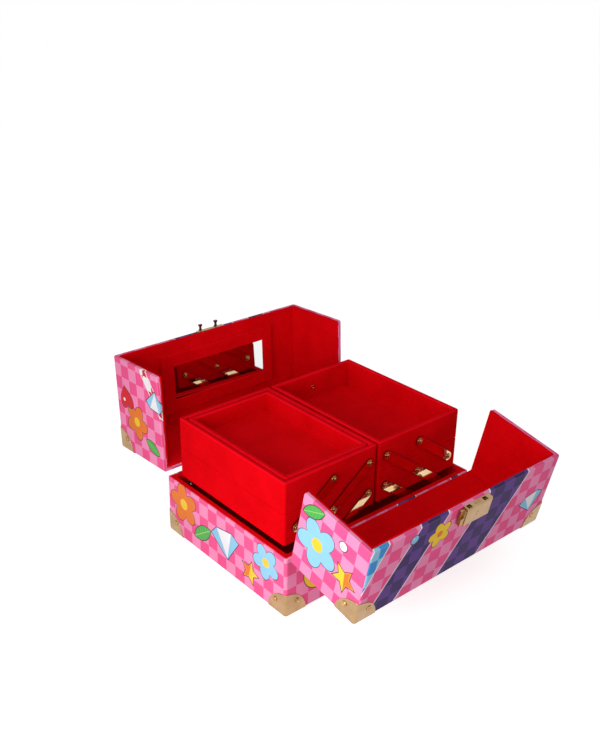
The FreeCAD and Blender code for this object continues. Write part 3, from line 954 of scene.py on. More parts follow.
class Brush:
    """Paints shapes over one another on a checked ground."""

    EDGE = 0.25  # width of a painted edge in millimetres
    LINE = 0.8  # width of a drawn outline in millimetres
    BORDER = 1.3  # width of a band's white border in millimetres

    def __init__(self, bench: Bench, square: float) -> None:
        """Lay the checked ground.

        Args:
            bench: Material that is painted.
            square: Width of a square in millimetres.
        """
        self.bench = bench
        self.place = bench.print_place()
        self.across, self.up, _ = bench.parts(self.place)
        columns = (self.across * (1.0 / square)).math("FLOOR")
        rows = (self.up * (1.0 / square)).math("FLOOR")
        self.check = (columns + rows).math("PINGPONG", 1.0)
        self.colour = bench.mixed(self.check, Ink.LIGHT_PINK.value, Ink.MID_PINK.value)

    def fill(self, distance: Field, colour: Paint) -> None:
        """Paint where a distance in millimetres is below zero."""
        share = (distance * (-1.0 / self.EDGE)).math("ADD", 0.5, clamp=True)
        self.colour = self.bench.mixed(share, self.colour, colour)

    def band(self, band: Band) -> None:
        """Paint a band: the distance from its middle line, less half its width.

        Args:
            band: The band.
        """
        run = np.subtract(band.stop, band.start)
        length = float(np.linalg.norm(run))
        ahead = [float(value) for value in run / length]
        x, y = self.across - band.start[0], self.up - band.start[1]
        along = x * ahead[0] + y * ahead[1]
        past = along - along.larger(0.0).math("MINIMUM", length)
        aside = y * ahead[0] - x * ahead[1]
        distance = past.beside(aside) - band.width / 2
        self.fill(distance - self.BORDER, Ink.WHITE.value)
        self.fill(distance, self.bench.mixed(self.check, band.light.value, band.dark.value))

    def figure(self, figure: Figure) -> None:
        """Paint a figure with a dark outline.

        Args:
            figure: The figure.
        """
        mapping = self.bench.add("ShaderNodeMapping", {
            "Vector": self.place, "Location": (*figure.at, 0.0),
            "Rotation": (0.0, 0.0, math.radians(figure.turn)), "Scale": (figure.size, figure.size, 1.0),
        }, vector_type="TEXTURE")
        x, y, _ = self.bench.parts(mapping.outputs["Vector"])
        outside, detail = DRAWN[figure.shape](Sketch(x, y))
        main, accent = figure.inks or USUAL_INKS[figure.shape]
        self.fill(outside * figure.size - self.LINE, Ink.OUTLINE.value)
        self.fill(outside * figure.size, main.value)
        self.fill(outside.larger(detail) * figure.size + self.LINE / 2, accent.value)


@dataclass(frozen=True)
class PrintedLeatherette:
    """Coated fabric with a checked print, a fine pebbled grain and a painted highlight along its rounded
    edges.

    Attributes:
        name: Name of the material.
        square: Width of the squares in millimetres.
        bands: Bands on this panel.
        figures: Figures on this panel.
        blotch: Size of the print's faint blotches.
        grain: Size of the pebbled grain.
        depth: Height of the grain.
    """

    name: str
    square: float = 14.4
    bands: tuple[Band, ...] = ()
    figures: tuple[Figure, ...] = ()
    blotch: float = 45.0 * MM
    grain: float = 0.8 * MM
    depth: float = 0.12 * MM

    def material(self) -> Material:
        """Make the material.

        Returns:
            The print under a satin coat, with a painted highlight that makes it paler where the surface
            bends outwards.
        """
        bench = Bench(self.name)
        brush = Brush(bench, self.square)
        for band in self.bands:
            brush.band(band)
        for figure in self.figures:
            brush.figure(figure)
        blotches = bench.noise(self.blotch, 4.0)
        toned = bench.mixed(bench.span(blotches, 0.0, 0.1), brush.colour, Ink.OUTLINE.value)
        # Painted highlight: the print pales towards white where the surface bends outwards, at rounded
        # edges and folds.
        bend = Field(bench.tree, bench.add("ShaderNodeNewGeometry").outputs["Pointiness"])
        edge_highlighted = bench.mixed(bench.span(bend, 0.0, 0.3, 0.52, 0.62), toned, Ink.WHITE.value)
        bench.feed(Base_Color=edge_highlighted)
        grain = bench.noise(self.grain)
        bench.feed(Roughness=bench.span(grain * 0.5 + blotches * 0.5, 0.42, 0.58))
        bench.feed(Specular_IOR_Level=0.06)
        bench.bump(grain, self.depth, 0.35)
        return bench.material


# The box and its lids


class Panel(Enum):
    """Panels of a lid's cover, in the order of their material slots."""

    TOP = 0
    SIDE = 1
    LEFT_END = 2
    RIGHT_END = 3


class Side(Enum):
    """Sides of the case that have trays, as the names of their nodes start."""

    LEFT = "left"
    RIGHT = "right"


@dataclass(frozen=True)
class LidHinge:
    """Where a lid turns, and how far it stands open in the frame.

    Attributes:
        pivot: Point on the hinge axis.
        turn: Rotation from closed to open.
        side: 1 for the lid at +Y and -1 for the lid at -Y.
    """

    pivot: Array
    turn: Array
    side: int

    @classmethod
    def of(cls, name: str) -> "LidHinge":
        """Read a hinge from the frame, where the lid is closed at the joint's lower limit.

        Args:
            name: Name of the joint.

        Returns:
            The hinge.
        """
        joint = next(joint for joint in frame["joints"] if joint["name"] == name)
        angle = -math.radians(joint["range_deg"][0])
        pivot = np.array(joint["pos_m"])
        return cls(pivot, np.array(Matrix.Rotation(angle, 3, joint["axis"])), 1 if pivot[1] > 0 else -1)

    def closed_box(self, node: str) -> tuple[Array, Array]:
        """Corners of a node with the lid closed, with depth counted towards this lid's hinge.

        Args:
            node: CAD node on the lid.

        Returns:
            Its lowest and highest corner.
        """
        mesh = frame["nodes"][node].data
        points = np.zeros(len(mesh.vertices) * 3, dtype=np.float32)
        mesh.vertices.foreach_get("co", points)
        closed = (points.reshape(-1, 3) - self.pivot) @ self.turn + self.pivot
        closed = closed * np.array([1, self.side, 1])
        return closed.min(axis=0), closed.max(axis=0)

    def opened(self, points: Array) -> Array:
        """Swing points of the closed lid to where it stands open."""
        return (points * np.array([1, self.side, 1]) - self.pivot) @ self.turn.T + self.pivot


@dataclass(frozen=True)
class LidShape:
    """Outline of a closed lid: open at its rim below and at its split, rounded elsewhere.

    Attributes:
        half_length: Half its length along X.
        split: Depth at which the two lids meet.
        edge: Depth of its outer side.
        rim: Height of its rim.
        top: Height of its top.
        radius: Radius of its rounded edges.
        free: Radius of its free corners, between the rim and the split.
    """

    half_length: float
    split: float
    edge: float
    rim: float
    top: float
    radius: float
    free: float

    @classmethod
    def of(cls, hinge: LidHinge, node: str, radius: float, free: float) -> "LidShape":
        """Read the outline from a CAD node of the lid.

        Args:
            hinge: Hinge of the lid.
            node: Node with the lid's outer faces.
            radius: Radius of its rounded edges.
            free: Radius of its free corners.

        Returns:
            The outline.
        """
        (_, split, rim), (length, edge, top) = (map(float, corner) for corner in hinge.closed_box(node))
        return cls(length, split, edge, rim, top, radius, free)

    def inset(self, wall: float, shy: float, radius: float) -> "LidShape":
        """Draw the outline in.

        Args:
            wall: How far the closed sides go in.
            shy: How far the rim and the split go in.
            radius: Radius of the new edges.

        Returns:
            The new outline.
        """
        return LidShape(self.half_length - wall, self.split + shy, self.edge - wall,
                        self.rim + shy, self.top - wall, radius, self.free - shy)

    def core(self, points: Array) -> Array:
        """Find the nearest points in the inner box, which lies the radius inside the closed sides.

        Args:
            points: Points on the sharp or the rounded box.

        Returns:
            Points in the inner box.
        """
        low = np.array([-self.half_length + self.radius, -np.inf, -np.inf])
        high = np.array([self.half_length, self.edge, self.top]) - self.radius
        return np.clip(points, low, high)

    def rounded(self, points: Array) -> Array:
        """Round a sharp box: each point goes to the radius from its nearest point in the inner box.

        Args:
            points: Points on the sharp box.

        Returns:
            Points on the rounded box.
        """
        core = self.core(points)
        away = points - core
        return core + self.radius * away / np.linalg.norm(away, axis=-1, keepdims=True)

    def sharpened(self, points: Array) -> Array:
        """Undo the rounding: the longest part of the way from the inner box becomes the radius.

        Args:
            points: Points on the rounded box.

        Returns:
            Points on the sharp box.
        """
        core = self.core(points)
        away = points - core
        return core + self.radius * away / np.abs(away).max(axis=-1, keepdims=True)

    def print_place(self, panel: Panel, points: Array) -> Array:
        """Place the print: X, and the distance from the hinged side or from the top.

        Args:
            panel: Panel that the points are on.
            points: Points on the sharp box.

        Returns:
            Two numbers for each point, in millimetres.
        """
        measured = np.array([0.0, self.edge, self.top]) - points
        measured[..., 0] = points[..., 0]
        axes = {Panel.TOP: (0, 1), Panel.SIDE: (0, 2)}.get(panel, (1, 2))
        return measured[..., axes] / MM

    def panels(self, fold: float) -> dict[Panel, tuple[Array, Array]]:
        """Lay a grid on each closed side, up to where the cover folds over the open edges.

        At a free corner the grid's square becomes a quarter disc: each point keeps its direction
        from the corner's middle, at a distance of the larger of its two sides.

        Args:
            fold: Radius of the fold.

        Returns:
            Points and print places of each panel.
        """
        bend = self.free - fold
        x = edge_stations(-self.half_length, self.half_length, self.radius, self.radius)
        depth = edge_stations(self.split + fold, self.edge, bend, self.radius)
        height = edge_stations(self.rim + fold, self.top, bend, self.radius)
        grids = {
            Panel.TOP: np.meshgrid(x, depth, [self.top], indexing="ij"),
            Panel.SIDE: np.meshgrid(x, [self.edge], height, indexing="ij"),
            Panel.LEFT_END: np.meshgrid([-self.half_length], depth, height, indexing="ij"),
            Panel.RIGHT_END: np.meshgrid([self.half_length], depth, height, indexing="ij"),
        }
        middle = np.array([self.split, self.rim]) + self.free
        made = {}
        for panel, grid in grids.items():
            sharp = np.stack(grid, axis=-1).squeeze()
            if panel in (Panel.LEFT_END, Panel.RIGHT_END):
                past = np.maximum(middle - sharp[..., 1:], 0.0)
                length = np.maximum(np.linalg.norm(past, axis=-1, keepdims=True), 1e-12)
                sharp[..., 1:] += past * (1.0 - past.max(axis=-1, keepdims=True) / length)
            made[panel] = (self.rounded(sharp), self.print_place(panel, sharp))
        return made

    def fold_loop(self, profile: Array) -> Array:
        """Carry a fold's profile round the whole open edge of the lid.

        The path runs along the rim's U, turns a quarter circle at the free corner, runs back along
        the split's U and turns again.

        Args:
            profile: Array of (count, 2): how far in from the outer faces, and how far from the edge.

        Returns:
            An array of (count, points on the path, 3), closed along the path.
        """
        offset, height = profile[:, 0], profile[:, 1][:, None]
        reach = np.maximum(self.free, height)
        rim = u_path(offset, self.half_length, self.split + reach[:, 0], self.edge, self.radius)
        level = np.broadcast_to((self.rim + height)[:, :, None], rim.shape[:2] + (1,))
        rim = np.concatenate([rim, level], axis=-1)
        split = u_path(offset, self.half_length, self.rim + reach[:, 0], self.top, self.radius)[:, ::-1]
        split = np.stack([
            split[..., 0], np.broadcast_to(self.split + height, split.shape[:2]), split[..., 1],
        ], axis=-1)
        angle = np.radians(np.linspace(90, 0, 2 * ROUND_STEPS + 1)[1:-1])[None]
        swing = reach - height
        turn = np.stack([
            np.broadcast_to((self.half_length - offset)[:, None], (len(offset), angle.size)),
            self.split + reach - swing * np.cos(angle),
            self.rim + reach - swing * np.sin(angle),
        ], axis=-1)
        back_turn = turn[:, ::-1] * np.array([-1.0, 1.0, 1.0])
        return np.concatenate([rim, turn, split, back_turn], axis=1)

    def fold_strips(self, profile: Array) -> list[tuple[Panel, Array, Array]]:
        """Cut the fold into one strip for each panel that it carries on from.

        The print goes on past the panel's edge, in the panel's plane, by the distance along the
        profile. Past a free corner it goes on straight away from the corner's middle.

        Args:
            profile: Section of the fold, from the panel inwards.

        Returns:
            Panel, points and print places of each strip.
        """
        loop = self.fold_loop(profile)
        loop = np.concatenate([loop, loop[:, :1]], axis=1)
        sharp = self.sharpened(loop[0])
        ahead = np.minimum(loop[0] - np.array([0.0, self.split + self.free, self.rim + self.free]), 0.0)
        ahead[:, 0] = 0.0
        ahead /= np.linalg.norm(ahead, axis=-1, keepdims=True)
        laid = sharp + ahead * run_length(profile)[:, None, None]
        arc, leg = 2 * ROUND_STEPS, ROUND_STEPS + 1
        u_end = 2 * arc + 3
        split_start = u_end + arc
        cuts = (
            (Panel.SIDE, leg, u_end - leg),
            (Panel.RIGHT_END, u_end - leg, split_start + leg),
            (Panel.TOP, split_start + leg, split_start + u_end - leg),
            (Panel.LEFT_END, 0, leg),
            (Panel.LEFT_END, split_start + u_end - leg, loop.shape[1] - 1),
        )
        return [(panel, loop[:, a:b + 1], self.print_place(panel, laid[:, a:b + 1]))
                for panel, a, b in cuts]


@dataclass(frozen=True)
class Walls:
    """How the walls of the box and the lids are made up, from the outside in.

    Attributes:
        edge_radius: Radius of the printed outer edges.
        board: Thickness of a board with its cover.
        lining: Thickness of the velvet lining.
        cover: Thickness of the printed cover.
        fold: Radius of the cover's fold over a rim.
        tuck: How far the cover is tucked down inside a rim.
        nap: Radius of the lining's edge.
        shy: How far the lining stays back from a rim.
        corner: Radius of the lining's inner corners.
        free: Radius of a lid's free corners.
    """

    edge_radius: float = 3.0 * MM
    board: float = 4.2 * MM
    lining: float = 2.0 * MM
    cover: float = 0.5 * MM
    fold: float = 1.0 * MM
    tuck: float = 1.0 * MM
    nap: float = 0.9 * MM
    shy: float = 0.15 * MM
    corner: float = 0.8 * MM
    free: float = 2.5 * MM

    def lining_edge(self) -> Array:
        """Section of the lining's edge: round on the inside, then flat back to the board."""
        backing = [[-self.lining + LAYER_GAP, 0.0]]
        return np.concatenate([quarter((-self.nap, self.nap), self.nap, 0, -90, ROUND_STEPS), backing])


def guard_patches(corner: Array, signs: Sequence[int], disc: float, inset: float,
                  radius: float) -> list[Array]:
    """Lay a polar grid on each of the three faces at a corner, and round the corner off.

    On a face, the reach at angle a from one edge is where a ray from the corner leaves the disc's
    circle: c (cos a + sin a) + root(c2 (cos a + sin a)2 - 2 c2 + r2), for a circle of radius r whose
    middle is c from both edges. Each point then goes to the edge radius from the inner box.

    Args:
        corner: The sharp outer corner.
        signs: Which way the corner points along each axis.
        disc: Radius of the discs.
        inset: Distance of a disc's middle from the edges.
        radius: Radius of the outer edges.

    Returns:
        Three arrays of (angles, reaches, 3).
    """
    angles, reaches = GUARD_GRID
    angle = np.pi / 4 * (1 - np.cos(np.linspace(0, np.pi, angles)))
    lean = inset * (np.cos(angle) + np.sin(angle))
    limit = lean + np.sqrt(lean ** 2 - 2 * inset ** 2 + disc ** 2)
    reach = np.linspace(0, 1, reaches)[None] * limit[:, None]
    ahead = np.stack([np.cos(angle), np.sin(angle), np.zeros_like(angle)], axis=-1)
    flat = reach[:, :, None] * ahead[:, None]
    patches = []
    for shift in range(3):
        inward = np.roll(flat, shift, axis=-1)
        core = np.maximum(inward, radius)
        away = inward - core
        inward = core + radius * away / np.linalg.norm(away, axis=-1, keepdims=True)
        patches.append(corner - inward * np.asarray(signs))
    return patches


def lathed_piece(name: str, material: Material, profile: Array, seats: Array, ways: Array,
                 move: Move = None) -> Piece:
    """Make one object by turning a profile about each seat's direction.

    A point at radius r and height h stands at the seat plus h along the direction and r round it.

    Args:
        name: Name of the piece.
        material: Its material.
        profile: Array of (count, 2): radius and height, from the axis to the axis.
        seats: Array of (seats, 3).
        ways: Array of (seats, 3) of unit directions.
        move: Moves all points to their place in the frame.

    Returns:
        The new object.
    """
    angle = np.linspace(0, 2 * np.pi, LATHE_STEPS, endpoint=False)
    surface = Surface()
    for seat, way in zip(seats, ways):
        first = np.roll(way, 1)
        second = np.cross(way, first)
        round_it = np.cos(angle)[:, None] * first + np.sin(angle)[:, None] * second
        turned = seat + profile[:, :1, None] * round_it[None] + profile[:, 1:, None] * way
        surface.grid(turned, close_columns=True)
    return surface.build(name, [material], move)


@dataclass(frozen=True)
class Guards:
    """Pressed corner guards and their rivets.

    Attributes:
        thickness: Thickness of the metal.
        reach: Radius of the quarter disc on each face.
        rivet_inset: Distance of a rivet from the case's edges.
        head: Radius of a rivet's head.
        dome: Height of a rivet's head.
        shank: Radius of a rivet's shank.
        bite: Length of a rivet's shank.
        crown: Radius of the dome's curve.
        roll: Radius of the rolled rim round the dome.
        roll_height: Height of the rolled rim's middle.
        undercut: How far the rolled rim goes in at its foot.
        ease: Rounding of a guard's edge.
    """

    thickness: float = 0.8 * MM
    reach: float = 24.6 * MM
    rivet_inset: float = 14.0 * MM
    head: float = 2.9 * MM
    dome: float = 1.1 * MM
    shank: float = 1.1 * MM
    bite: float = 4.4 * MM
    crown: float = 1.8 * MM
    roll: float = 0.45 * MM
    roll_height: float = 0.25 * MM
    undercut: float = 0.1 * MM
    ease: float = 0.3 * MM

    def rivet(self) -> Array:
        """Section of a rivet: a dome inside a rolled rim, on a shank.

        Returns:
            An array of (count, 2): radius and height.
        """
        dome = quarter((0.0, self.dome - self.crown), self.crown, 90, 36, 6)
        rim = quarter((self.head - self.roll, self.roll_height), self.roll, 150, -34, 6)
        foot = [[self.head - self.undercut, 0.0], [self.shank, 0.0]]
        shank = [[self.shank, -self.bite], [0.0, -self.bite]]
        return np.concatenate([dome, rim, foot, shank])

    def seats(self, corner: Array, signs: Array, faces: Sequence[int]) -> Array:
        """Seats of a guard's rivets on the given faces.

        Args:
            corner: Sharp corner of the case.
            signs: Which way the corner points along each axis.
            faces: Axes of the faces that have a rivet.

        Returns:
            An array of (faces, 3).
        """
        inset = np.where(np.eye(3)[list(faces)] > 0, -self.thickness, self.rivet_inset)
        return corner - inset * signs

    def build(self, name: str, body: str, corners: Sequence[tuple[Array, Array]],
              faces: Sequence[int], radius: float, metals: "Metals", move: Move = None) -> None:
        """Make the guards and the rivets of the base or a lid.

        Args:
            name: What the names of its CAD nodes start with.
            body: Body that they ride on.
            corners: Sharp corners of the case, each with the signs of the way it points.
            faces: Axes of the faces that have a rivet.
            radius: Radius of the case's edges.
            metals: Metals of the case.
            move: Moves all points to their place in the frame.
        """
        surface, seats, ways = Surface(), [], []
        for corner, signs in corners:
            grown = corner + self.thickness * signs
            for patch in guard_patches(grown, signs, self.reach, self.thickness, radius + self.thickness):
                surface.grid(patch)
            seats.append(self.seats(corner, signs, faces))
            ways.append(np.eye(3)[list(faces)] * signs)
        guards = surface.build(f"{name}_guards_pressed", [metals.satin], move)
        evened(eased(thickened(guards, self.thickness - LAYER_GAP), self.ease))
        placed(guards, body, "gilt_metal", f"{name}_corner_guards")
        rivets = lathed_piece(f"{name}_guard_rivets_domed", metals.dark_reflection_gilt, self.rivet(),
                              np.concatenate(seats), np.concatenate(ways), move)
        placed(rivets, body, "gilt_metal", f"{name}_guard_rivets")


@dataclass(frozen=True)
class Metals:
    """Metals of the fittings, made once.

    Attributes:
        satin: Pressed champagne gilt.
        bright: Polished gilt of pins, screws and the keeper's rivets.
        dark_reflection_gilt: Polished gilt painted darker, a painted dark reflection, on the domed
            rivets.
        mirror_bright: Mirror-polished gilt of the arms.
        bronze: Darker gilt of the button.
        dark_reflection_bronze: Dark brown gilt with a painted dark reflection, on the keeper's hooks and
            the arms' cut edges.
        steel: Steel of the latch spring.
    """

    satin: Material
    bright: Material
    dark_reflection_gilt: Material
    mirror_bright: Material
    bronze: Material
    dark_reflection_bronze: Material
    steel: Material

    @classmethod
    def mixed(cls) -> "Metals":
        """Make all the metals.

        Returns:
            The metals.
        """
        polished = (Ink.POLISHED_GILT, Ink.POLISHED_GILT_DEEP)
        dark = (Ink.BRONZE, Ink.BRONZE_DEEP)
        kinds = (
            Metal("satin_gilt", Ink.GILT, Ink.GILT_DEEP, 0.3, 0.42),
            Metal("bright_gilt", *polished, 0.1, 0.2),
            # Painted dark reflection: darker gilt stands for the dark surroundings that the rivets
            # reflect.
            Metal("gilt_painted_dark_reflection", *dark, 0.06, 0.14),
            Metal("mirror_gilt", *polished, 0.02, 0.06, edge=0.05 * MM),
            Metal("bronze_gilt", *dark, 0.22, 0.34),
            # Painted dark reflection on the keeper's hooks and the arms' cut edges, which keeps them from
            # shining.
            Metal("bronze_painted_dark_reflection", Ink.UMBER, Ink.UMBER_DEEP, 0.2, 0.32),
            Metal("spring_steel", Ink.STEEL, Ink.STEEL_DEEP, 0.2, 0.35),
        )
        return cls(*(kind.material() for kind in kinds))


BASE_PRINT = PrintedLeatherette(
    "print_base", square=14.6,
    bands=(
        Band((196, -12), (236, 80), 20),
        Band((556, -12), (606, 80), 22),
        Band((636, -12), (676, 80), 10),
        Band((742, 80), (792, -12), 20),
    ),
    figures=(
        Figure(Shape.FLOWER, (48, 33), 21, 12, (Ink.YELLOW, Ink.RED)),
        Figure(Shape.LEAF, (92, 30), 19, 60),
        Figure(Shape.GEM, (142, 36), 19, -8),
        Figure(Shape.FLOWER, (279, 42), 23, 10),
        Figure(Shape.LEAF, (311, 24), 17, -55),
        Figure(Shape.GEM, (349, 36), 22, 10),
        Figure(Shape.STAR, (388, 20), 13, -14),
        Figure(Shape.FLOWER, (412, 44), 19, 30, (Ink.SKY, Ink.YELLOW)),
        Figure(Shape.MOON, (480, 34), 18, 20),
        Figure(Shape.HEART, (524, 36), 17, 8),
        Figure(Shape.GEM, (716, 34), 18, -6),
        Figure(Shape.FLOWER, (828, 34), 22, 25),
    ),
)

FRONT_LID_PRINTS = {
    Panel.TOP: PrintedLeatherette(
        "print_front_lid_face",
        bands=(
            Band((-134, 34), (-108, 96), 15, Ink.SKY, Ink.BLUE),
            Band((-108, -20), (-38, 104), 29),
            Band((-9, -20), (61, 104), 47),
        ),
        figures=(
            Figure(Shape.FLOWER, (-38, 62), 14, 20, (Ink.YELLOW, Ink.ORANGE)),
            Figure(Shape.GEM, (98, 40), 16, 10),
            Figure(Shape.PEARL, (-72, 72), 4.5, 0),
        ),
    ),
    Panel.LEFT_END: PrintedLeatherette(
        "print_front_lid_left",
        figures=(
            Figure(Shape.FLOWER, (44, 58), 25, 14, (Ink.SKY, Ink.YELLOW)),
            Figure(Shape.LEAF, (73, 69), 14, 30),
            Figure(Shape.STAR, (36, 22), 14, 96),
            Figure(Shape.PEARL, (66, 30), 4.5, 0, (Ink.WHITE, Ink.SKY)),
        ),
    ),
    Panel.RIGHT_END: PrintedLeatherette(
        "print_front_lid_right",
        bands=(Band((20, -12), (66, 100), 18),),
        figures=(
            Figure(Shape.GEM, (62, 30), 18, 84),
            Figure(Shape.HEART, (24, 60), 15, 100),
        ),
    ),
    Panel.SIDE: PrintedLeatherette(
        "print_front_lid_side",
        bands=(Band((-60, -12), (-14, 100), 22), Band((58, -12), (98, 100), 12)),
        figures=(
            Figure(Shape.STAR, (-96, 40), 17, 10),
            Figure(Shape.FLOWER, (26, 44), 22, 0),
        ),
    ),
}

BACK_LID_PRINTS = {
    Panel.TOP: PrintedLeatherette(
        "print_back_lid_face",
        bands=(
            Band((-96, -16), (-26, 124), 28),
            Band((-30, -16), (30, 124), 11),
            Band((58, 124), (116, -16), 20),
        ),
        figures=(
            Figure(Shape.FLOWER, (-92, 66), 25, 15),
            Figure(Shape.GEM, (40, 40), 24, -10),
            Figure(Shape.LEAF, (52, 82), 20, 40),
            Figure(Shape.STAR, (-30, 36), 15, 12),
            Figure(Shape.HEART, (106, 76), 16, -14),
        ),
    ),
    Panel.LEFT_END: PrintedLeatherette(
        "print_back_lid_left",
        bands=(Band((58, 94), (104, 58), 9, Ink.WHITE, Ink.RED),),
        figures=(
            Figure(Shape.GEM, (74, 76), 15, 96),
            Figure(Shape.FLOWER, (42, 38), 20, 8),
            Figure(Shape.HEART, (66, 20), 14, 78),
            Figure(Shape.LEAF, (22, 66), 13, 24),
        ),
    ),
    Panel.RIGHT_END: PrintedLeatherette(
        "print_back_lid_right",
        bands=(Band((18, 98), (84, -12), 20),),
        figures=(
            Figure(Shape.STAR, (80, 56), 18, 80),
            Figure(Shape.LEAF, (30, 30), 18, 120),
        ),
    ),
    Panel.SIDE: PrintedLeatherette(
        "print_back_lid_side",
        bands=(Band((-20, -12), (28, 100), 22),),
        figures=(
            Figure(Shape.FLOWER, (-78, 42), 23, 10, (Ink.YELLOW, Ink.RED)),
            Figure(Shape.MOON, (76, 44), 19, 20, (Ink.SKY, Ink.WHITE)),
        ),
    ),
}


@dataclass(frozen=True)
class BaseBox:
    """The lower box: printed cover, velvet lining, floor card and corner guards.

    Attributes:
        velvet: Velvet of the case.
        metals: Metals of the case.
        walls: How its walls are made up.
        guards: Its corner guards.
        lap: How far the lining laps over the boards' edges.
        lap_tuck: How far the lap goes on under the cover's fold.
        lap_thickness: Thickness of the lap.
        lap_corner: Radius of the lap's outer corners.
        turn_under: How far the cover goes under the box.
        card_edge: Radius of the floor card's edge.
        card_margin: Width of the card's faces that is drawn with its edge.
    """

    velvet: Material
    metals: Metals
    walls: Walls = Walls(lining=3.2 * MM, nap=0.8 * MM)
    guards: Guards = Guards()
    lap: float = 1.7 * MM
    lap_tuck: float = 0.5 * MM
    lap_thickness: float = 0.4 * MM
    lap_corner: float = 0.4 * MM
    turn_under: float = 36.0 * MM
    card_edge: float = 0.8 * MM
    card_margin: float = 36.0 * MM

    def build(self) -> None:
        """Make all the pieces."""
        low, high = (np.array(corner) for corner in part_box("base_cover"))
        self.build_cover(low, high)
        self.build_lining(high)
        self.build_floor_card()
        signs = [np.array([sx, sy, -1]) for sx in (-1, 1) for sy in (-1, 1)]
        corners = [(np.where(sign > 0, high, low), sign) for sign in signs]
        self.guards.build("base", "base", corners, (0, 1), self.walls.edge_radius, self.metals)

    def build_cover(self, low: Array, high: Array) -> None:
        """Carry the cover's section round the box, from under the floor to inside the rim.

        Args:
            low: Lowest corner of the box.
            high: Highest corner of the box.
        """
        walls, bottom = self.walls, low[2]
        fold = fold_profile(walls.fold, walls.board - self.lap, walls.tuck) * np.array([1, -1])
        fold = fold + np.array([0, high[2]])
        foot = quarter((walls.edge_radius, bottom + walls.edge_radius), walls.edge_radius, 270, 180)
        profile = np.concatenate([[[self.turn_under, bottom]], foot, fold])
        ring = RoundedRing(high[0], high[1], walls.edge_radius)
        places = ring.print_places(profile) - np.array([0.0, self.turn_under / MM])
        surface = Surface()
        surface.grid(ring.swept((0, 0), profile), places, close_columns=True)
        cover = surface.build("base_cover_printed", [BASE_PRINT.material()])
        evened(thickened(cover, walls.cover))
        placed(cover, "base", "printed_leatherette", "base_cover")

    def build_lining(self, high: Array) -> None:
        """Carry the lining's section round the inside of the box, with a thin lap over the boards.

        Args:
            high: Highest corner of the box.
        """
        walls = self.walls
        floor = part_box("base_lining")[0].z
        edge = walls.lining_edge() * np.array([1, -1]) + np.array([0, high[2] - walls.shy])
        back, top = edge[-1]
        profile = np.concatenate([[[0.0, floor]], edge, [[back, floor]]])
        inner, outer = walls.board + walls.lining, walls.board - self.lap - self.lap_tuck
        width, upper = inner - walls.nap - outer, top + LAYER_GAP
        lower = upper - self.lap_thickness
        lap = np.array([[0.0, lower], [0.0, upper], [width, upper], [width, lower]])
        surface = Surface()
        for reach, radius, section in ((inner, walls.corner, profile), (outer, self.lap_corner, lap)):
            ring = RoundedRing(high[0] - reach, high[1] - reach, radius)
            surface.grid(ring.swept((0, 0), section), close_columns=True, close_rows=True)
        lining = evened(surface.build("base_lining_velvet", [self.velvet]))
        placed(lining, "base", "velvet", "base_lining")

    def build_floor_card(self) -> None:
        """Make the velvet card on the floor, with a rounded upper edge."""
        low, high = (np.array(corner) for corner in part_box("base_floor_pad"))
        margin, edge = self.card_margin, self.card_edge
        profile = np.concatenate([
            [[margin, low[2]], [0.0, low[2]]],
            quarter((edge, high[2] - edge), edge, 180, 90),
            [[margin, high[2]]],
        ])
        surface = Surface()
        surface.tube(RoundedRing(high[0], high[1], edge).swept((0, 0), profile))
        card = evened(surface.build("base_floor_card_velvet", [self.velvet]))
        placed(card, "base", "velvet_covered_board", "base_floor_pad")


@dataclass(frozen=True)
class Lid:
    """One lid: printed cover, velvet lining and corner guards.

    Attributes:
        name: Name of its body, as its CAD nodes start with it.
        hinge: Where it turns.
        prints: Print of each panel.
        velvet: Velvet of the case.
        metals: Metals of the case.
        walls: How its walls are made up.
        guards: Its corner guards.
    """

    name: str
    hinge: LidHinge
    prints: dict[Panel, PrintedLeatherette]
    velvet: Material
    metals: Metals
    walls: Walls = Walls()
    guards: Guards = Guards()

    def shape(self) -> LidShape:
        """Outline of the closed lid."""
        return LidShape.of(self.hinge, f"{self.name}_cover", self.walls.edge_radius, self.walls.free)

    def build(self) -> None:
        """Make all the pieces."""
        shape = self.shape()
        self.build_cover(shape)
        self.build_lining()
        corner = np.array([shape.half_length, shape.edge, shape.top])
        corners = [(corner * np.array([sx, 1, 1]), np.array([sx, 1, 1])) for sx in (-1, 1)]
        self.guards.build(self.name, self.name, corners, (0, 1, 2), shape.radius, self.metals,
                          self.hinge.opened)

    def build_cover(self, shape: LidShape) -> None:
        """Lay the printed panels and the fold round the open edge.

        Args:
            shape: Outline of the closed lid.
        """
        walls, surface = self.walls, Surface()
        for panel, (points, places) in shape.panels(walls.fold).items():
            surface.grid(points, places, panel.value)
        for panel, points, places in shape.fold_strips(fold_profile(walls.fold, walls.board, walls.tuck)):
            surface.grid(points, places, panel.value)
        materials = [self.prints[panel].material() for panel in Panel]
        cover = surface.build(f"{self.name}_cover_printed", materials, self.hinge.opened)
        evened(thickened(cover, walls.cover))
        placed(cover, self.name, "printed_leatherette", f"{self.name}_cover")

    def build_lining(self) -> None:
        """Lay the velvet inside the lid, with a soft edge along the rim and the split and a flat back."""
        walls, surface = self.walls, Surface()
        backing = walls.lining - LAYER_GAP
        room = LidShape.of(self.hinge, f"{self.name}_lining", walls.corner, walls.nap + 2 * walls.shy)
        inner = room.inset(walls.lining, walls.shy, walls.corner)
        outer = inner.inset(-backing, 0.0, walls.corner + backing)
        for points, _ in [*inner.panels(walls.nap).values(), *outer.panels(0.0).values()]:
            surface.grid(points)
        surface.grid(inner.fold_loop(walls.lining_edge()), close_columns=True)
        lining = evened(surface.build(f"{self.name}_lining_velvet", [self.velvet], self.hinge.opened))
        placed(lining, self.name, "velvet", f"{self.name}_lining")


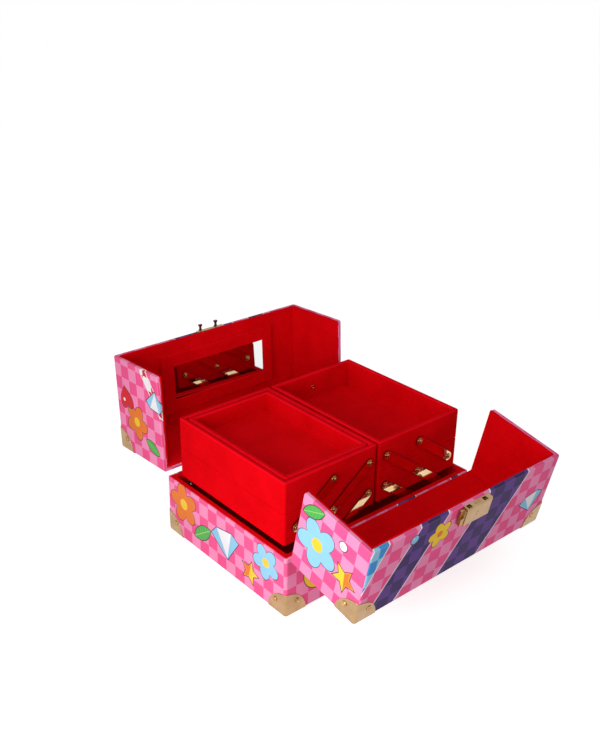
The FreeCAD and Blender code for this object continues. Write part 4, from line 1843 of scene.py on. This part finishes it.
@dataclass(frozen=True)
class MirrorFrame:
    """Velvet frame in the back lid, and the mirror glass that leans a little in it.

    Attributes:
        hinge: Hinge of the lid.
        velvet: Velvet of the case.
        border: Width of the frame's border.
        edge: Radius of its outer front edges.
        inner_edge: Radius of its front edges round the glass.
        corner: Radius of its outer corners.
        grip: How far it reaches over the glass.
        sunk: Depth of the glass's middle below the frame's front.
        lean: Turn of the glass in degrees, which brings its right end forwards.
        play: Room between the frame and the glass.
    """

    hinge: LidHinge
    velvet: Material
    border: float = 15.0 * MM
    edge: float = 2.2 * MM
    inner_edge: float = 0.4 * MM
    corner: float = 1.6 * MM
    grip: float = 3.0 * MM
    sunk: float = 2.6 * MM
    lean: float = 2.0
    play: float = 0.1 * MM

    def build(self) -> None:
        """Carry the frame's section round the mirror, and make the glass."""
        low, high = self.hinge.closed_box("mirror_frame")
        glass = self.hinge.closed_box("mirror_glass")[0]
        front, back, edge, inner = low[2], high[2], self.edge, self.inner_edge
        rabbet = glass[2] - self.play
        profile = np.concatenate([
            [[0.0, back]],
            quarter((edge, front + edge), edge, 180, 270),
            quarter((self.border - inner, front + inner), inner, 270, 360),
            [[self.border, rabbet], [self.border - self.grip, rabbet], [self.border - self.grip, back]],
        ])
        half = (high - low) / 2
        surface = Surface()
        ring = RoundedRing(half[0], half[1], self.corner)
        surface.grid(ring.swept((low + half)[:2], profile), close_columns=True, close_rows=True)
        piece = evened(surface.build("mirror_frame_velvet", [self.velvet], self.hinge.opened))
        placed(piece, "back_lid", "velvet_covered_board", "mirror_frame")
        self.build_glass(front)

    def build_glass(self, front: float) -> None:
        """Make the glass: a plate in the rabbet, and a face in the window that slopes along X.

        Args:
            front: Height of the frame's front, with the lid closed.
        """
        low, high = self.hinge.closed_box("mirror_glass")
        signs = np.array([[1, 1], [-1, 1], [-1, -1], [1, -1]])
        middle, half = (low + high)[:2] / 2, (high - low)[:2] / 2
        outline, window = middle + signs * half, middle + signs * (half - self.grip + self.play)
        slope = front + self.sunk - (window[:, 0] - middle[0]) * math.tan(math.radians(self.lean))
        loops = np.array([
            np.column_stack([flat, np.broadcast_to(height, 4)])
            for flat, height in ((outline, high[2]), (outline, low[2]), (window, low[2]), (window, slope))
        ])
        surface = Surface()
        surface.tube(loops)
        glass = surface.build("mirror_glass_silvered", [MirrorSilver().material()], self.hinge.opened)
        placed(glass, "back_lid", "mirror", "mirror_glass")


@dataclass(frozen=True)
class VelvetTray:
    """An open tray of velvet covered board.

    Attributes:
        node: CAD node that it stands for, which is its body's name too.
        velvets: Velvet of the case, and the paler velvet that paints a highlight on a rim that shows.
        wall: Thickness of its walls.
        floor: Thickness of its floor.
        corner: Radius of its upright corners.
        rim: Radius of its rim's edges.
        foot: Radius of its lower edges.
        inner: Radius where walls meet the floor.
        margin: Width of the floor that is drawn with the walls.
        pocket: Depth of the pocket, if its underside is hollow.
        roof: Thickness of the pocket's floor over the hollow.
        lean: Least and greatest upward part of the normal of a rim's rounded face that gets the painted
            highlight.
    """

    node: str
    velvets: tuple[Material, ...]
    wall: float = 5.0 * MM
    floor: float = 3.0 * MM
    corner: float = 2.6 * MM
    rim: float = 1.6 * MM
    foot: float = 1.0 * MM
    inner: float = 0.8 * MM
    margin: float = 8.0 * MM
    pocket: float = 0.0
    roof: float = 3.0 * MM
    lean: tuple[float, float] = (0.2, 0.97)

    def profile(self, bottom: float, top: float) -> Array:
        """Section of a wall, from the middle of the underside over the rim to the floor.

        Args:
            bottom: Lowest height.
            top: Highest height.

        Returns:
            An array of (count, 2): how far in from the outside, and the height.
        """
        floor = top - self.pocket if self.pocket else bottom + self.floor
        under = [[self.margin, bottom]]
        if self.pocket:
            under = [[self.wall + self.margin, floor - self.roof], [self.wall, floor - self.roof],
                     [self.wall, bottom]]
        return np.concatenate([
            under,
            quarter((self.foot, bottom + self.foot), self.foot, 270, 180),
            quarter((self.rim, top - self.rim), self.rim, 180, 90),
            quarter((self.wall - self.rim, top - self.rim), self.rim, 90, 0),
            quarter((self.wall + self.inner, floor + self.inner), self.inner, 180, 270),
            [[self.wall + self.margin, floor]],
        ])

    def build(self) -> None:
        """Carry the section round the tray and close its floor."""
        low, high = (np.array(corner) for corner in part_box(self.node))
        half = (high - low) / 2
        ring = RoundedRing(half[0], half[1], self.corner)
        surface = Surface()
        surface.tube(ring.swept((low + half)[:2], self.profile(low[2], high[2])))
        tray = evened(surface.build(f"{self.node}_velvet", self.velvets))
        # A second velvet paints a highlight on the rim's upward faces.
        if len(self.velvets) > 1:
            self.paint_rim_highlight(tray.data, high[2])
        placed(tray, self.node, "velvet_covered_board", self.node)

    def paint_rim_highlight(self, mesh: bpy.types.Mesh, top: float) -> None:
        """Paint a highlight on the rim: give the paler velvet to the rounded faces of the rim, which lean
        upwards and lie within its radius.

        Args:
            mesh: Mesh of the tray.
            top: Height of the rim.
        """
        ways, middles = np.empty((2, len(mesh.polygons), 3))
        mesh.polygons.foreach_get("normal", ways.ravel())
        mesh.polygons.foreach_get("center", middles.ravel())
        leans = (ways[:, 2] > self.lean[0]) & (ways[:, 2] < self.lean[1])
        # Faces that get the painted highlight: rounded, leaning upwards and near the top.
        rim_highlight = leans & (middles[:, 2] > top - self.rim)
        mesh.polygons.foreach_set("material_index", rim_highlight.astype(np.int32))


@dataclass(frozen=True)
class Cantilever:
    """Arms and pivot rivets of the trays on one side of the case.

    Attributes:
        side: Side of the case.
        metals: Metals of the case.
        head: Radius of a rivet's head.
        dome: Height of a rivet's head.
        shank: Radius of a rivet's shank.
        shank_length: Length of a rivet's shank.
        tail: Radius of a rivet's tail inside the tray.
        tail_height: Height of the tail.
        crown: Radius of the dome's curve.
        brim: Radius of the brim's edge.
        brim_height: Height of the brim's middle.
        roll: Radius of the tail's rolled edge.
        hollow: Depth of the tail's hollow.
        hollow_radii: Radii of the hollow's lip and floor, as shares of the tail's.
        half_width: Half the width of an arm.
        ease: Rounding of an arm's edges.
    """

    side: Side
    metals: Metals
    head: float = 3.3 * MM
    dome: float = 1.6 * MM
    shank: float = 1.5 * MM
    shank_length: float = 6.8 * MM
    tail: float = 2.6 * MM
    tail_height: float = 0.7 * MM
    crown: float = 2.3 * MM
    brim: float = 0.25 * MM
    brim_height: float = 0.2 * MM
    roll: float = 0.35 * MM
    hollow: float = 0.2 * MM
    hollow_radii: tuple[float, float] = (0.5, 0.36)
    half_width: float = 4.75 * MM
    ease: float = 0.12 * MM

    def rivet(self) -> Array:
        """Section of a rivet: a small dome on a flat brim, a shank, and a rolled tail.

        Returns:
            An array of (count, 2): radius and height.
        """
        dome = quarter((0.0, self.dome - self.crown), self.crown, 90, 30, 6)
        rim = quarter((self.head - self.brim, self.brim_height), self.brim, 90, -50, 4)
        back = -self.shank_length
        roll = quarter((self.tail - self.roll, back - self.roll), self.roll, 90, -90, 6)
        tail = [[self.shank, 0.0], [self.shank, back]]
        lip, pit = (self.tail * share for share in self.hollow_radii)
        floor = back - self.hollow
        hollow = [[lip, back - self.tail_height], [pit, floor], [0.0, floor]]
        return np.concatenate([dome, rim, tail, roll, hollow])

    def columns(self) -> Array:
        """Find the pivots along X.

        Returns:
            X of the inner, middle and outer pivots.
        """
        low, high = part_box(f"{self.side.value}_lower_tray_rivets")
        inner, outer = low.x + self.head, high.x - self.head
        inner, outer = (outer, inner) if self.side is Side.LEFT else (inner, outer)
        return np.array([inner, (inner + outer) / 2, outer])

    def rows(self) -> Array:
        """Find the heights of the pivots.

        Returns:
            Heights of the base, lower and upper pivots.
        """
        trays = [f"{self.side.value}_{level}_tray_rivets" for level in ("lower", "upper")]
        boxes = map(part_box, ("base_pivot_screws", *trays))
        return np.array([(low.z + high.z) / 2 for low, high in boxes])

    def build(self) -> None:
        """Make the arms on both faces and the rivets of both trays."""
        inner, middle, outer = self.columns()
        base, lower, upper = self.rows()
        arms = {
            "long": ((inner, upper), (outer, base)),
            "lower": ((inner, lower), (middle, base)),
            "upper": ((middle, upper), (outer, lower)),
        }
        side = self.side.value
        for face in ("front", "back"):
            for kind, ends in arms.items():
                self.build_arm(f"{side}_{face}_{kind}_arm", np.array(ends))
        self.build_rivets(f"{side}_lower_tray", lower, (inner, middle, outer))
        self.build_rivets(f"{side}_upper_tray", upper, (inner, middle))

    def build_arm(self, node: str, ends: Array) -> None:
        """Carry an arm's edge round its outline: a half circle about each end, joined by straight sides.

        Args:
            node: CAD node of the arm, which is its body's name too.
            ends: X and Z of its end pivots.
        """
        low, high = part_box(node)
        ahead = math.atan2(*(ends[1] - ends[0])[::-1])
        sweep = np.linspace(-np.pi / 2, np.pi / 2, ARM_STEPS)
        angle = ahead + np.concatenate([sweep, sweep + np.pi])
        middle = np.repeat(ends[::-1], ARM_STEPS, axis=0)
        edge = self.ease
        section = np.concatenate([
            quarter((self.half_width - edge, low.y + edge), edge, -90, 0, ROUND_STEPS),
            quarter((self.half_width - edge, high.y - edge), edge, 0, 90, ROUND_STEPS),
        ])
        outwards = np.stack([np.cos(angle), np.sin(angle)], axis=-1)
        flat = middle[None] + section[:, :1, None] * outwards[None]
        depth = np.broadcast_to(section[:, None, 1], flat.shape[:2])
        loops = np.stack([flat[..., 0], depth, flat[..., 1]], axis=-1)
        surface = Surface()
        surface.tube(loops, slot=1)
        # The cut edges wear dark brown: a painted dark reflection in place of a bright edge line.
        finishes = [self.metals.mirror_bright, self.metals.dark_reflection_bronze]
        arm = evened(surface.build(f"{node}_polished", finishes))
        placed(arm, node, "gilt_metal", node)

    def build_rivets(self, tray: str, height: float, spots: Sequence[float]) -> None:
        """Make the rivets of one tray.

        Args:
            tray: Body of the tray.
            height: Height of its pivots.
            spots: X of its pivots.
        """
        node = f"{tray}_rivets"
        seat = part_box(node)[1].y - self.dome
        seats = np.array([[x, way * seat, height] for way in (-1, 1) for x in spots])
        ways = np.sign(seats) * np.array([0, 1, 0])
        rivets = lathed_piece(f"{node}_domed", self.metals.dark_reflection_gilt, self.rivet(), seats, ways)
        placed(rivets, tray, "gilt_metal", node)


def dress_carried_nodes(metals: Metals) -> None:
    """Give each CAD node that stays its own finish.

    Args:
        metals: Metals of the case.
    """
    board = Fibre("pressed_board", Ink.BOARD, Ink.BOARD_DEEP, 1.2 * MM, 0.1 * MM).material()
    felt = Fibre("grey_felt", Ink.FELT, Ink.FELT_DEEP, 0.5 * MM, 0.3 * MM).material()
    finishes = {
        board: ("base_carcass", "back_lid_carcass", "front_lid_carcass"),
        felt: ("base_bottom_sheet",),
        metals.satin: (
            "front_hinge_base_leaves", "back_hinge_base_leaves", "front_hinge_lid_leaves",
            "back_hinge_lid_leaves", "latch_housing", "latch_back_plate", "keeper_plate",
            "base_pivot_spacers",
        ),
        metals.bright: (
            "hinge_pins", "base_hinge_screws", "back_lid_hinge_screws", "front_lid_hinge_screws",
            "base_pivot_screws", "keeper_rivets",
        ),
        # Painted dark reflection on the latch's rivets.
        metals.dark_reflection_gilt: ("latch_rivets",),
        metals.bronze: ("latch_slide",),
        # Painted dark reflection on the keeper's hooks.
        metals.dark_reflection_bronze: ("keeper_hooks",),
        metals.steel: ("latch_spring",),
    }
    for material, nodes in finishes.items():
        for node in nodes:
            for slot in frame["nodes"][node].material_slots:
                slot.material = material
            LOG.info("%s wears %s", node, material.name)


# Camera, floor and light


@dataclass(frozen=True)
class PhotoCamera:
    """Camera at the photograph's place.

    Attributes:
        place: Where it stands.
        right: Direction of the picture's right.
        up: Direction of the picture's top.
        focal_pixels: Focal length in pixels.
        frame_pixels: Height of the picture in pixels, its longer side.
        sensor: Width of the sensor in millimetres.
        clip: Nearest and farthest distance that it sees.
    """

    place: tuple[float, float, float] = (-578.77 * MM, -633.23 * MM, 571.27 * MM)
    right: tuple[float, float, float] = (0.75888, -0.65109, 0.01349)
    up: tuple[float, float, float] = (0.26275, 0.32507, 0.90846)
    focal_pixels: float = 951.27
    frame_pixels: float = 750.0
    sensor: float = 36.0
    clip: tuple[float, float] = (0.01, 200.0)

    def build(self) -> None:
        """Make the camera and set it as the scene's own."""
        data = bpy.data.cameras.new("photo_camera")
        data.sensor_width = self.sensor
        data.lens = self.sensor * self.focal_pixels / self.frame_pixels
        data.clip_start, data.clip_end = self.clip
        right = np.array(self.right) / np.linalg.norm(self.right)
        back = np.cross(right, self.up)
        back = back / np.linalg.norm(back)
        axes = np.stack([right, np.cross(back, right), back], axis=1)
        camera = bpy.data.objects.new("photo_camera", data)
        camera.matrix_world = Matrix.Translation(self.place) @ Matrix(axes.tolist()).to_4x4()
        bpy.context.scene.collection.objects.link(camera)
        bpy.context.scene.camera = camera


@dataclass(frozen=True)
class SoftPanel:
    """A square panel of soft light.

    Attributes:
        name: Name of the lamp.
        power: Its power in watts.
        at: Where it stands.
        aim: Point that it faces.
        size: Its width.
    """

    name: str
    power: float
    at: tuple[float, float, float]
    aim: tuple[float, float, float]
    size: float

    def build(self) -> None:
        """Make the lamp and turn it to its aim."""
        data = bpy.data.lights.new(self.name, "AREA")
        data.energy, data.size = self.power, self.size
        lamp = bpy.data.objects.new(self.name, data)
        turn = (Vector(self.at) - Vector(self.aim)).to_track_quat("Z", "Y")
        lamp.matrix_world = Matrix.Translation(self.at) @ turn.to_matrix().to_4x4()
        bpy.context.scene.collection.objects.link(lamp)


@dataclass(frozen=True)
class Studio:
    """Plain white floor and soft light.

    Attributes:
        floor_size: Half the width of the floor.
        floor_lines: Number of grid lines across the floor.
        floor_shown: How pale the floor is to the eye.
        floor_glow: How much brighter than its light the floor is to the eye.
        floor_bounce: How much light the floor throws back on the case.
        ambient: Light from all round.
        lamps: Panels of soft light, the key light first.
    """

    floor_size: float = 60.0
    floor_lines: int = 5
    floor_shown: float = 0.75
    floor_glow: float = 0.72
    floor_bounce: float = 0.5
    ambient: float = 0.37
    lamps: tuple[SoftPanel, ...] = (
        SoftPanel("key", 2.4, (-0.54, -0.22, 0.24), (-0.05, -0.02, 0.09), 0.36),
        SoftPanel("fill", 1.3, (0.16, -0.86, 0.03), (0.06, -0.1, 0.09), 0.4),
        SoftPanel("sky", 0.4, (-0.08, 0.06, 0.72), (0.0, 0.0, 0.1), 0.5),
    )

    def build(self) -> None:
        """Make the floor, the world and the lamps."""
        scene = bpy.context.scene
        scene.view_settings.view_transform = "Standard"
        self.build_floor()
        self.build_world(scene)
        for panel in self.lamps:
            panel.build()

    def seen(self, tree: bpy.types.NodeTree) -> Field:
        """Tell the rays that show the background from those that light the case.

        Args:
            tree: Node tree to work in.

        Returns:
            1 for camera, glossy and transmission rays, and 0 for the rest.
        """
        path = tree.nodes.new("ShaderNodeLightPath")
        kinds = ("Camera", "Glossy", "Transmission")
        camera, glossy, through = (Field(tree, path.outputs[f"Is {kind} Ray"]) for kind in kinds)
        return camera.larger(glossy).larger(through)

    def build_floor(self) -> None:
        """Make a wide flat floor that is white to the eye."""
        bench = Bench("floor_white")
        shown, bounce = (self.floor_shown,) * 3, (self.floor_bounce,) * 3
        seen = self.seen(bench.tree)
        bench.feed(Base_Color=bench.mixed(seen, bounce, shown))
        bench.feed(Emission_Strength=seen * self.floor_glow)
        bench.feed(Roughness=1.0, Specular_IOR_Level=0.0, Emission_Color=(1.0, 1.0, 1.0, 1.0))
        side = np.linspace(-self.floor_size, self.floor_size, self.floor_lines)
        surface = Surface()
        surface.grid(np.stack(np.meshgrid(side, side, [0.0], indexing="ij"), axis=-1).squeeze())
        surface.build("floor", [bench.material])

    def build_world(self, scene: bpy.types.Scene) -> None:
        """Light the case from all round, with a white background.

        Args:
            scene: The scene.
        """
        world = bpy.data.worlds.new("studio")
        world.use_nodes = True
        tree = world.node_tree
        background = tree.nodes["Background"]
        strength = self.seen(tree) * (1.0 - self.ambient) + self.ambient
        put(background.inputs["Strength"], strength)
        put(background.inputs["Color"], (1.0, 1.0, 1.0, 1.0))
        scene.world = world


def write_sizes() -> None:
    """Update the view layer, so that every piece stands at its current place."""
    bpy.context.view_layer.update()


def main() -> None:
    """Build the case, light it and report each piece."""
    logging.basicConfig(level=logging.INFO, format="%(message)s")
    PhotoCamera().build()
    Studio().build()
    velvet, metals = Velvet().material(), Metals.mixed()
    # Paler velvet that paints a highlight on the rims of the upper trays and the insert.
    rim_highlight = Velvet("red_velvet_painted_rim_highlight", Ink.VELVET_EDGE, Ink.VELVET_EDGE_DEEP).material()
    back_hinge, front_hinge = LidHinge.of("back_lid_hinge"), LidHinge.of("front_lid_hinge")
    BaseBox(velvet, metals).build()
    Lid("back_lid", back_hinge, BACK_LID_PRINTS, velvet, metals).build()
    Lid("front_lid", front_hinge, FRONT_LID_PRINTS, velvet, metals).build()
    MirrorFrame(back_hinge, velvet).build()
    for side in Side:
        VelvetTray(f"{side.value}_lower_tray", (velvet,)).build()
        VelvetTray(f"{side.value}_upper_tray", (velvet, rim_highlight)).build()
        Cantilever(side, metals).build()
    VelvetTray("left_tray_insert", (velvet, rim_highlight), pocket=20.0 * MM).build()
    dress_carried_nodes(metals)
    write_sizes()


if __name__ == "__main__":
    main()
